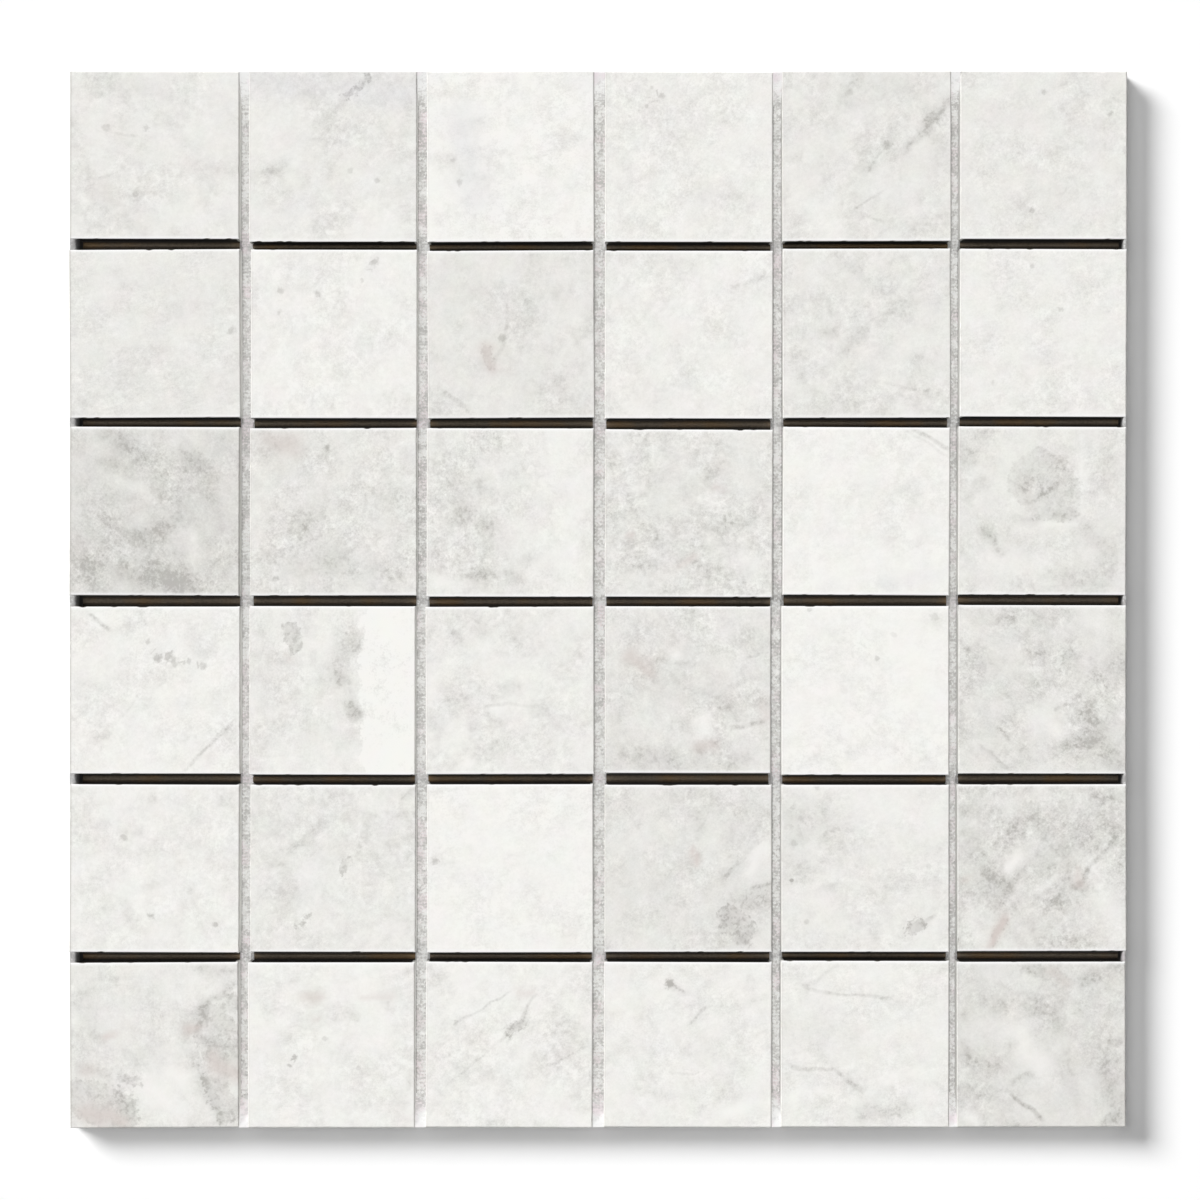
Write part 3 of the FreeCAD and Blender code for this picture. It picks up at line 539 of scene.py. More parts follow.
    laid = addNode(tree, "GeometryNodeTransform", {
        "Geometry": stone.outputs[0], "Translation": given["Centre"],
        "Rotation": addNode(tree, "ShaderNodeCombineXYZ", {"Z": given["Turn"]}).outputs[0]})
    real = addNode(tree, "GeometryNodeRealizeInstances", {"Geometry": laid.outputs[0]})
    addNode(tree, "NodeGroupOutput", {"Geometry": real.outputs[0]})
    return tree


def laidAt(node):
    # A tile's centre, its turn and its sides along X and Y, from its lowest corners in the frame
    low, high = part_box(node)
    corners = [v.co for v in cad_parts[node].data.vertices if v.co.z < low.z + 0.1 * mm]
    nearLeft, nearRight, farLeft = (max(corners, key=lambda c: x * c.x + y * c.y)
                                    for x, y in ((-1, -1), (1, -1), (-1, 1)))
    run = nearRight - nearLeft
    centre = (nearRight + farLeft) / 2
    centre.z = (low.z + high.z) / 2
    return centre, math.atan2(run.y, run.x), run.length, (farLeft - nearLeft).length


def fromFace(u, v, side):
    # Place on the polished face in mm from the tile's centre
    return np.array(((u - 0.5) * side, (0.5 - v) * side))


def softMarks(points, marks, side):
    # Soft marks as one field on the mesh, each along a short line, with a wandering outline
    total = np.zeros(len(points))
    for u0, v0, u1, v1, width, strength in marks:
        start, end = fromFace(u0, v0, side), fromFace(u1, v1, side)
        along = end - start
        share = np.clip((points - start) @ along / max(along @ along, 1e-6), 0, 1)
        away = np.linalg.norm(points - start - share[:, None] * along, axis=1)
        total += strength * np.exp(-(away / (0.6 * width)) ** 2)
    return np.clip(total, 0, 1.5)


def veinFrame(points, vein, side):
    # Across in half widths, along from 0 to 1, and strength, from which the shader draws the line
    u0, v0, u1, v1, width, strength = vein
    start, end = fromFace(u0, v0, side), fromFace(u1, v1, side)
    run = end - start
    length = np.linalg.norm(run)
    across = ((points - start) @ np.array((-run[1], run[0]))) / length
    along = ((points - start) @ run) / length ** 2
    return np.stack([across / width, along, np.full(len(points), strength)], 1)


def patchField(points, patches, side):
    # Patches with a clear outline, each round a short line: nearness of the outline (0.5 on it)
    # and strength of the nearest
    field = np.zeros((len(points), 3))
    for u0, v0, u1, v1, radius, strength in patches:
        start, end = fromFace(u0, v0, side), fromFace(u1, v1, side)
        along = end - start
        share = np.clip((points - start) @ along / max(along @ along, 1e-6), 0, 1)
        away = np.linalg.norm(points - start - share[:, None] * along, axis=1)
        inside = np.clip(0.5 + (radius - away) / 4, 0, 1)
        nearer = inside > field[:, 0]
        field[nearer, 0] = inside[nearer]
        field[nearer, 1] = strength
    return field


def speckFrame(points, specks, side):
    # Offset from the nearest speck in its radii, and its strength, which ends 3 mm from the speck
    field = np.tile((99.0, 99.0, 0.0), (len(points), 1))
    nearest = np.full(len(points), 99.0)
    for u, v, radius, strength in specks:
        offset = points - fromFace(u, v, side)
        away = np.linalg.norm(offset, axis=1)
        closer = away < nearest
        field[closer, :2] = offset[closer] / radius
        field[closer, 2] = strength * np.clip(2.5 - away[closer] / 1.2, 0, 1)
        nearest[closer] = away[closer]
    return field


def setField(mesh, name, values):
    layer = mesh.attributes.new(name, "FLOAT_VECTOR", "POINT")
    layer.data.foreach_set("vector", np.asarray(values, np.float32).ravel())


def paintTile(piece, face, seed, sides, joints):
    # Each tile is sawn from its own place in the block, so the block's pattern runs through it
    mesh = piece.data
    place = np.zeros(len(mesh.vertices) * 3, np.float32)
    mesh.attributes["tilePos"].data.foreach_get("vector", place)
    place = place.reshape(-1, 3) / mm
    side = sum(sides) / 2 / mm

    # Painted shade: near-black glue on the walls of the level joints. Painted highlight: paler stone along their
    # upper edge. Painted glow: low on the sides that face the upright joints
    halfX, halfY = sides[0] / 2 / mm, sides[1] / 2 / mm
    leftGap, rightGap = (gap / mm for gap in joints["gaps"])
    between = (place[:, 0] > leftGap - halfX) & (place[:, 0] < halfX - rightGap)
    byLevelJoint = ((place[:, 1] > 0) & joints["above"]) | ((place[:, 1] < 0) & joints["below"])
    isTop = place[:, 2] > 4.5
    wall = (np.abs(place[:, 1]) > halfY - 0.05) & ~isTop & between & byLevelJoint
    rimHighlight = (np.abs(place[:, 1]) > halfY - 0.45) & isTop & byLevelJoint
    inner = ((place[:, 0] > 0) & joints["right"]) | ((place[:, 0] < 0) & joints["left"])
    lit = (np.abs(place[:, 0]) > halfX - 0.05) & ~isTop & inner
    foot = 0.5 - place[:, 2] / (tileBlank["Thickness"] / mm)
    setField(mesh, "paintedShadeAndLight", np.stack([wall, rimHighlight, lit * (0.1 + 0.9 * foot)], 1))
    leftEdgeShare = ((place[:, 0] < 0.45 - halfX) & isTop) * (0.87 if joints["left"] else 1.0)
    dice = random.Random(seed)
    turn = math.radians(face.get("grain", 0))
    rotation = np.array(((math.cos(turn), math.sin(turn), 0), (-math.sin(turn), math.cos(turn), 0), (0, 0, 1)))
    offset = np.array([dice.uniform(-400, 400) for _ in range(3)])
    stone = place @ rotation.T * (face.get("drawn", 1.0), 1, 1) + offset
    setField(mesh, "stonePos", stone)

    # Soft marks stray from their lines by up to 2 mm, and veins by less
    sway = np.array([noise.noise_vector(Vector(p) / 5 + Vector((seed, 0, 0)))[:2] for p in place])
    flat = place[:, :2] + 2.0 * sway
    lined = place[:, :2] + 1.0 * sway
    tone, clouds, figure, crumbs = stoneKinds[face["kind"]]
    tone += face.get("tone", 0)
    count = len(place)
    cloud = np.array([noise.fractal(Vector(p) / marbleLook["cloudSize"], 0.7, 2.0, 4) for p in stone])
    density = np.clip(0.5 + 1.2 * cloud, 0, 1.2)
    setField(mesh, "stoneKind", np.stack([crumbs * density, figure * (0.6 + 0.8 * density), density], 1))
    smears, warm, pale, violet = (
        softMarks(flat, face.get(name, []), side) for name in ("smears", "warm", "pale", "violet"))
    setField(mesh, "softMarks", np.stack([smears, warm, pale], 1))
    setField(mesh, "patches", patchField(flat, face.get("patches", []), side))
    setField(mesh, "specks", speckFrame(place[:, :2], face.get("specks", []), side))
    veins = (face.get("veins", []) + [(0, 0, 1, 0, 1, 0)] * veinCount)[:veinCount]
    for number, vein in enumerate(veins):
        setField(mesh, f"vein{number}", veinFrame(lined, vein, side))
    setField(mesh, "stoneTone", np.stack([tone + clouds * cloud, leftEdgeShare, violet], 1))


veinCount = max(len(face.get("veins", [])) for face in tileFaces.values())

marbleLook = {
    "white": "#f4f3ef",         # clean calcite
    "grey": "#b5b3ae",          # dense cloud or vein
    "warm": "#d3c8c3",          # pinkish stain
    "sawn": "#dfe0df",          # matt sawn side, with dust in it
    "rimHighlight": "#ffffff",           # painted highlight along the upper edges of the level joints
    "rimHighlightStrength": 0.8,
    "glue": "#1a140e",          # near-black painted shade on the walls of the level joints, as smeared glue
    "leftEdgeGrey": "#a9a7a2",       # darker grey on the arris along the left edge of the sheet
    "leftEdgeGreyness": 0.72,
    "paintedGlow": 0.2,                # painted glow low on the sides of the upright joints
    "roughness": 0.58,
    "sheen": 0.3,               # duller than a polished face, which would have 0.5
    "violet": "#d5d3da",        # cool violet tint in patches
    "cloudSize": 12.0,          # mm
    "figureSize": 5.5,          # coarsest of its five octaves
    "crumbSize": 1.5,
    "threads": 0.08,            # thin dark lines between the crystals
    "tintSize": 7.0,            # mm, faint pinkish and greenish clouds
    "tints": 0.05,
}


def makeMarble(look):
    # Honed white marble: calcite that lets light in a little, ground flat but not polished to a mirror,
    # so it shows soft clouds with a dull sheen. The sawn sides are rougher and greyer. On top of that it
    # carries painted shade on the walls of the level joints, a painted highlight along their upper
    # edges and a painted glow low in the upright joints.
    material = bpy.data.materials.new("honed white marble")
    material.use_nodes = True
    tree = material.node_tree
    tree.nodes.clear()

    def maths(operation, first, second=0.0, third=0.0, clamp=False):
        return addNode(tree, "ShaderNodeMath", {0: first, 1: second, 2: third},
                       operation=operation, use_clamp=clamp).outputs[0]

    def field(name):
        return addNode(tree, "ShaderNodeAttribute", attribute_name=name).outputs["Vector"]

    def split(vector):
        return addNode(tree, "ShaderNodeSeparateXYZ", {0: vector}).outputs

    def noiseAt(vector, size, detail=4.0, rough=0.5):
        return addNode(tree, "ShaderNodeTexNoise", {
            "Vector": vector, "Scale": 1 / size, "Detail": detail, "Roughness": rough}).outputs

    def ramp(value, low, high, smooth=True):
        return addNode(tree, "ShaderNodeMapRange", {"Value": value, "From Min": low, "From Max": high},
                       interpolation_type="SMOOTHSTEP" if smooth else "LINEAR").outputs[0]

    def mixColour(share, first, second):
        return addNode(tree, "ShaderNodeMix", {"Factor": share, 6: first, 7: second},
                       data_type="RGBA").outputs[2]

    stone = field("stonePos")
    kind = split(field("stoneKind"))
    figure = maths("SUBTRACT", noiseAt(stone, look["figureSize"], 4.0, 1.0)[0], 0.5)
    crumb = noiseAt(stone, look["crumbSize"], 3.0, 0.65)[0]
    crumbs = ramp(crumb, 0.46, 0.66)
    stray = maths("SUBTRACT", crumb, 0.5)
    broken = maths("ADD", maths("MULTIPLY", crumbs, 0.7), 0.65)
    threads = maths("SUBTRACT", 1.0, ramp(maths("ABSOLUTE", stray), 0.0, 0.025))

    soft = split(field("softMarks"))
    smears = maths("MULTIPLY", soft["X"], broken)
    patch = split(field("patches"))
    outline = ramp(maths("ADD", patch["X"], maths("MULTIPLY", stray, 1.2)), 0.38, 0.62)
    patches = maths("MULTIPLY", maths("MULTIPLY", outline, patch["Y"]), broken)

    thin = []
    for number in range(veinCount):
        vein = split(field(f"vein{number}"))
        window = maths("MULTIPLY", ramp(vein["Y"], -0.08, 0.12), maths(
            "SUBTRACT", 1.0, ramp(vein["Y"], 0.88, 1.08)))
        line = maths("SUBTRACT", 1.0, ramp(maths("ABSOLUTE", vein["X"]), 0.2, 1.8))
        thin.append(maths("MULTIPLY", maths("MULTIPLY", line, window), vein["Z"]))
    veins = 0.0
    for line in thin:
        veins = maths("ADD", line, veins)
    veins = maths("MULTIPLY", veins, broken)

    speck = split(field("specks"))
    away = maths("SQRT", maths("ADD", maths("MULTIPLY", speck["X"], speck["X"]),
                               maths("MULTIPLY", speck["Y"], speck["Y"])))
    away = maths("ADD", away, maths("MULTIPLY", stray, 4.0))
    specks = maths("MULTIPLY", maths("SUBTRACT", 1.0, ramp(away, 0.5, 1.9)), speck["Z"])

    cut = split(field("cut"))
    polished = maths("SUBTRACT", 1.0, cut["X"], clamp=True)
    own = split(field("stoneTone"))
    dark = maths("ADD", own["X"], maths("MULTIPLY", figure, kind["Y"]))
    dark = maths("ADD", dark, maths("MULTIPLY", crumbs, kind["X"]))
    dark = maths("ADD", dark, maths("MULTIPLY", maths("MULTIPLY", threads, kind["Z"]), look["threads"]))
    dark = maths("MULTIPLY", dark, maths("SUBTRACT", 1.0, maths("MULTIPLY", soft["Z"], 0.75)))
    marks = maths("ADD", maths("MULTIPLY", smears, 0.4), maths("MULTIPLY", veins, 0.42))
    marks = maths("ADD", marks, maths("ADD", patches, maths("MULTIPLY", specks, 0.5)))
    dark = maths("ADD", dark, maths("MULTIPLY", marks, polished), clamp=True)

    colour = mixColour(dark, linear(look["white"]), linear(look["grey"]))
    tint = addNode(tree, "ShaderNodeVectorMath", {
        0: noiseAt(stone, look["tintSize"], 2.0)[1], 1: (look["tints"],) * 3, 2: (1 - look["tints"] / 2,) * 3},
        operation="MULTIPLY_ADD").outputs[0]
    colour = addNode(tree, "ShaderNodeVectorMath", {0: colour, 1: tint}, operation="MULTIPLY").outputs[0]
    colour = mixColour(maths("MULTIPLY", soft["Y"], 0.6, clamp=True), colour, linear(look["warm"]))
    colour = mixColour(maths("MULTIPLY", own["Z"], 0.3, clamp=True), colour, linear(look["violet"]))
    paintedShadeAndLight = split(field("paintedShadeAndLight"))
    # Painted highlight: a white line along the upper edges of the level joints
    rimHighlight = maths("POWER", paintedShadeAndLight["Y"], 2.5)
    colour = mixColour(maths("MULTIPLY", rimHighlight, look["rimHighlightStrength"], clamp=True), colour, linear(look["rimHighlight"]))
    dust = maths("MULTIPLY", crumb, 0.9)
    colour = mixColour(maths("MULTIPLY", cut["X"], dust, clamp=True), colour, linear(look["sawn"]))
    # Painted shade: near-black on the walls of the level joints
    paintedWallShade = ramp(maths("ADD", paintedShadeAndLight["X"], maths("MULTIPLY", stray, 0.3)), 0.1, 0.6)
    colour = mixColour(paintedWallShade, colour, linear(look["glue"]))
    leftEdgeShare = maths("MULTIPLY", maths("POWER", own["Y"], 8.0), look["leftEdgeGreyness"])
    colour = mixColour(leftEdgeShare, colour, linear(look["leftEdgeGrey"]))

    roughness = maths("ADD", look["roughness"], maths("MULTIPLY", cut["X"], 0.4))

    # Saw marks: fine level lines on the sides
    local = split(field("tilePos"))
    sawLines = addNode(tree, "ShaderNodeTexWave", {
        "Vector": addNode(tree, "ShaderNodeCombineXYZ", {
            "X": maths("MULTIPLY", local["Z"], 1 / mm), "Y": 0.0, "Z": 0.0}).outputs[0],
        "Scale": 0.55}).outputs["Fac"]
    height = maths("MULTIPLY", maths("MULTIPLY", sawLines, cut["X"]), 0.02)
    bump = addNode(tree, "ShaderNodeBump", {"Height": height, "Distance": mm, "Strength": 1.0})
    # Emission low on the sides in the upright joints is painted glow
    shader = addNode(tree, "ShaderNodeBsdfPrincipled", {
        "Base Color": colour, "Roughness": roughness, "IOR": 1.5, "Specular IOR Level": look["sheen"],
        "Normal": bump.outputs[0], "Emission Color": colour, "Emission Strength": maths("MULTIPLY", paintedShadeAndLight["Z"], look["paintedGlow"])})
    addNode(tree, "ShaderNodeOutputMaterial", {"Surface": shader.outputs[0]})
    material.cycles.emission_sampling = "NONE"
    return material


def makeTiles():
    given = dict(tileBlank, Material=makeMarble(marbleLook), Seed=0.0, Centre=(0.0, 0.0, 0.0), Turn=0.0)
    given["Side X"] = given["Side Y"] = 0.0
    tree = tileTree(given)
    made = []
    for (row, column), face in tileFaces.items():
        centre, turn, sideX, sideY = tilePlaces[row, column]
        seed = 10 * row + column
        joints = {"above": row > 1, "below": row < 6, "left": column > 1, "right": column < 6,
                  "gaps": [glue["leftEndGap"] if column == 1 else glue["endGap"],
                           glue["rightEndGap"] if column == 6 else glue["endGap"]]}
        sizes = dict(given, Seed=float(seed), Centre=tuple(centre), Turn=turn)
        sizes["Side X"], sizes["Side Y"] = sideX, sideY
        piece = runTree(f"marbleTile_r{row}_c{column}", tree, sizes)
        paintTile(piece, face, seed, (sideX, sideY), joints)
        made.append(finishPiece(piece, f"tile_r{row}_c{column}"))
    return made


plug = {
    "Height": 9.1 * mm,         # from the mesh to just under the faces
    "Inset": 0.05 * mm,         # behind the outer sides of the tiles
    "Overlap": 0.2 * mm,        # into the walls, on each side
    "Lump": 0.12 * mm,
    # Shade and Foot Shade are painted shade, at the top and deep down; the last value is the share of painted glow
    "upright": {"Length": 9.0 * mm, "Curve": 1.3, "Shade": 0.04, "Foot Shade": 0.0, "Painted Glow": 0.8},
    "left": {"Length": 2.9 * mm, "Curve": 6.0, "Shade": 0.33, "Foot Shade": 0.97, "Painted Glow": 0.0},
    "right": {"Length": 1.3 * mm, "Curve": 6.0, "Shade": 0.33, "Foot Shade": 0.97, "Painted Glow": 0.0},
}


def plugTree(sizes):
    # A plug of pale glue in a joint's outer end. It falls to the mesh inside, in a curve, and carries painted shade
    # and a share of painted glow
    tree, given = newTree("joint end plug", sizes)

    def maths(operation, first, second=0.0):
        return addNode(tree, "ShaderNodeMath", {0: first, 1: second}, operation=operation).outputs[0]

    block = addNode(tree, "GeometryNodeMeshCube", {
        "Size": addNode(tree, "ShaderNodeCombineXYZ", {
            "X": given["Length"], "Y": given["Width"], "Z": given["Height"]}).outputs[0],
        "Vertices X": 17, "Vertices Y": 6, "Vertices Z": 5})
    spot = addNode(tree, "GeometryNodeInputPosition").outputs[0]
    place = addNode(tree, "ShaderNodeSeparateXYZ", {0: spot}).outputs
    inward = maths("ADD", place["X"], maths("MULTIPLY", given["Length"], 0.5))
    rise = maths("ADD", place["Z"], maths("MULTIPLY", given["Height"], 0.5))
    level = maths("DIVIDE", rise, given["Height"])
    fall = maths("SUBTRACT", 1.02, maths("POWER", maths("DIVIDE", inward, given["Length"]), given["Curve"]))
    towardsMiddle = maths("SUBTRACT", 1.1, maths(
        "ABSOLUTE", maths("MULTIPLY", maths("DIVIDE", place["Y"], given["Width"]), 2.4)))
    marked = addNode(tree, "GeometryNodeStoreNamedAttribute", {
        "Geometry": block.outputs["Mesh"], "Name": "bead",
        "Value": addNode(tree, "ShaderNodeCombineXYZ", {
            "X": towardsMiddle, "Y": 0.0, "Z": given["Seed"]}).outputs[0]}, data_type="FLOAT_VECTOR")
    risen = maths("MULTIPLY", level, maths("MINIMUM", fall, 1.0))
    darkness = addNode(tree, "ShaderNodeMapRange", {
        "Value": risen, "From Min": 0.6, "From Max": 0.97,
        "To Min": given["Foot Shade"], "To Max": given["Shade"]}).outputs[0]
    # shade: painted shade, height and share of painted glow
    shaded = addNode(tree, "GeometryNodeStoreNamedAttribute", {
        "Geometry": marked.outputs[0], "Name": "shade",
        "Value": addNode(tree, "ShaderNodeCombineXYZ", {
            "X": darkness, "Y": risen, "Z": maths("MULTIPLY", addNode(tree, "ShaderNodeMapRange", {
                "Value": risen, "From Max": 0.95}).outputs[0], given["Painted Glow"])}).outputs[0]},
        data_type="FLOAT_VECTOR")
    lumps = addNode(tree, "ShaderNodeTexNoise", {
        "Vector": spot, "W": given["Seed"], "Scale": 700.0, "Detail": 2.0}, noise_dimensions="4D").outputs[0]
    lump = maths("MULTIPLY", given["Lump"], maths("MULTIPLY", maths("SUBTRACT", lumps, 0.5), level))
    shaped = addNode(tree, "GeometryNodeSetPosition", {
        "Geometry": shaded.outputs[0],
        "Position": addNode(tree, "ShaderNodeCombineXYZ", {
            "X": inward, "Y": place["Y"], "Z": maths("ADD", maths("MULTIPLY", rise, fall), lump)}).outputs[0]})
    laid = addNode(tree, "GeometryNodeTransform", {
        "Geometry": shaped.outputs[0], "Translation": given["Place"],
        "Rotation": addNode(tree, "ShaderNodeCombineXYZ", {"Z": given["Turn"]}).outputs[0]})
    real = addNode(tree, "GeometryNodeRealizeInstances", {"Geometry": laid.outputs[0]})
    dressed = addNode(tree, "GeometryNodeSetMaterial",
                      {"Geometry": real.outputs[0], "Material": given["Material"]})
    addNode(tree, "NodeGroupOutput", {"Geometry": dressed.outputs[0]})
    return tree


def makePlugs():
    given = {"Width": 0.0, "Height": plug["Height"], "Lump": plug["Lump"], "Place": (0.0, 0.0, 0.0),
             "Turn": 0.0, "Seed": 0.0, "Material": paleGlue, **plug["upright"]}
    tree = plugTree(given)
    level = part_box("mesh_warp_threads")[1].z
    ends = []
    for column in range(1, 6):
        for row, way in ((1, 1), (6, -1)):
            (left, _, leftSide, leftUp), (right, _, rightSide, rightUp) = (
                tilePlaces[row, column], tilePlaces[row, column + 1])
            low, high = left.x + leftSide / 2, right.x - rightSide / 2
            outer = min(way * left.y + leftUp / 2, way * right.y + rightUp / 2) - plug["Inset"]
            ends.append((((low + high) / 2, way * outer, level), -way * math.pi / 2, high - low, "upright"))
    for row in range(1, 6):
        for column, way, name in ((1, -1, "left"), (6, 1, "right")):
            (upper, _, upperSide, upperUp), (lower, _, lowerSide, lowerUp) = (
                tilePlaces[row, column], tilePlaces[row + 1, column])
            high, low = upper.y - upperUp / 2, lower.y + lowerUp / 2
            outer = min(way * upper.x + upperSide / 2, way * lower.x + lowerSide / 2) - plug["Inset"]
            ends.append(((way * outer, (low + high) / 2, level), 0.0 if way < 0 else math.pi,
                         high - low, name))
    made = []
    for number, (place, turn, width, kind) in enumerate(ends):
        made.append(runTree("plug", tree, dict(
            given, Turn=turn, Width=width + 2 * plug["Overlap"], Place=place, Seed=float(number + 1),
            **plug[kind])))
    return finishPiece(joinPieces("endGlue", made), "mesh_warp_threads")


def beadTree(sizes):
    # A bead of glue along a joint: a thin sheet on the mesh, with a lumpy ridge along its middle
    tree, given = newTree("glue bead", sizes)

    def maths(operation, first, second=0.0):
        return addNode(tree, "ShaderNodeMath", {0: first, 1: second}, operation=operation).outputs[0]

    sheet = addNode(tree, "GeometryNodeMeshGrid", {
        "Size X": given["Length"], "Size Y": maths("ADD", given["Joint"], maths(
            "MULTIPLY", given["Overlap"], 2.0)),
        "Vertices X": 61, "Vertices Y": 9})
    spot = addNode(tree, "GeometryNodeInputPosition").outputs[0]
    sideways = addNode(tree, "ShaderNodeSeparateXYZ", {0: spot}).outputs["Y"]
    across = maths("DIVIDE", maths("ABSOLUTE", maths("SUBTRACT", sideways, given["Lean"])), maths(
        "SUBTRACT", given["Joint"], maths("MULTIPLY", maths("ABSOLUTE", given["Lean"]), 2.0)))
    ridge = addNode(tree, "ShaderNodeMapRange", {
        "Value": across, "From Min": 0.42, "From Max": 0.1}, interpolation_type="SMOOTHSTEP").outputs[0]
    # Smooth Side lifts the ridge on one side, and so takes away the painted wall shade there
    smooth = maths("MULTIPLY", maths("LESS_THAN", sideways, 0.0), given["Smooth Side"])
    ridge = maths("MAXIMUM", ridge, smooth)
    lumps = addNode(tree, "ShaderNodeTexNoise", {
        "Vector": spot, "W": given["Seed"], "Scale": 350.0, "Detail": 2.0}, noise_dimensions="4D").outputs[0]
    marked = addNode(tree, "GeometryNodeStoreNamedAttribute", {
        "Geometry": sheet.outputs["Mesh"], "Name": "bead",
        "Value": addNode(tree, "ShaderNodeCombineXYZ", {
            "X": ridge, "Y": addNode(tree, "ShaderNodeSeparateXYZ", {0: spot}).outputs["X"],
            "Z": given["Seed"]}).outputs[0]},
        data_type="FLOAT_VECTOR")
    shaped = addNode(tree, "GeometryNodeSetPosition", {
        "Geometry": marked.outputs[0],
        "Offset": addNode(tree, "ShaderNodeCombineXYZ", {"Z": maths("ADD", given["Level"], maths(
            "MULTIPLY", maths("MULTIPLY", ridge, maths("ADD", lumps, 0.5)), given["Rise"]))}).outputs[0]})
    laid = addNode(tree, "GeometryNodeTransform", {
        "Geometry": shaped.outputs[0], "Translation": given["Place"],
        "Rotation": addNode(tree, "ShaderNodeCombineXYZ", {"Z": given["Turn"]}).outputs[0]})
    real = addNode(tree, "GeometryNodeRealizeInstances", {"Geometry": laid.outputs[0]})
    dressed = addNode(tree, "GeometryNodeSetMaterial",
                      {"Geometry": real.outputs[0], "Material": given["Material"]})
    addNode(tree, "NodeGroupOutput", {"Geometry": dressed.outputs[0]})
    return tree


def makeLevelJointShade():
    # Dried bedding glue, near-black at its sides as painted shade of the deep level joints, and lighter and greyer
    # along the ridge
    material = bpy.data.materials.new("near-black glue as painted shade of the level joints")
    material.use_nodes = True
    tree = material.node_tree
    tree.nodes.clear()
    place = addNode(tree, "ShaderNodeTexCoord").outputs["Object"]
    ridge = addNode(tree, "ShaderNodeSeparateXYZ", {
        0: addNode(tree, "ShaderNodeAttribute", attribute_name="bead").outputs["Vector"]}).outputs["X"]
    patches = addNode(tree, "ShaderNodeTexNoise", {
        "Vector": place, "Scale": 1 / glue["patchSize"], "Detail": 4.0}).outputs[0]
    fine = addNode(tree, "ShaderNodeTexNoise", {"Vector": place, "Scale": 1500.0, "Detail": 3.0}).outputs[0]
    warm = addNode(tree, "ShaderNodeMapRange", {
        "Value": patches, "From Min": 0.48, "From Max": 0.62}).outputs[0]
    pale = addNode(tree, "ShaderNodeMix", {
        "Factor": warm, 6: linear(glue["ridge"]), 7: linear(glue["warmRidge"])}, data_type="RGBA").outputs[2]
    share = addNode(tree, "ShaderNodeMath", {
        0: ridge, 1: addNode(tree, "ShaderNodeMath", {0: fine, 1: patches}, operation="ADD").outputs[0]},
        operation="MULTIPLY", use_clamp=True).outputs[0]
    colour = addNode(tree, "ShaderNodeMix", {
        "Factor": share, 6: linear(glue["edge"]), 7: pale}, data_type="RGBA").outputs[2]
    bump = addNode(tree, "ShaderNodeBump", {"Height": fine, "Distance": 0.1 * mm, "Strength": 0.5})
    shader = addNode(tree, "ShaderNodeBsdfPrincipled", {
        "Base Color": colour, "Roughness": 0.6, "IOR": 1.45, "Normal": bump.outputs[0]})
    addNode(tree, "ShaderNodeOutputMaterial", {"Surface": shader.outputs[0]})
    return material


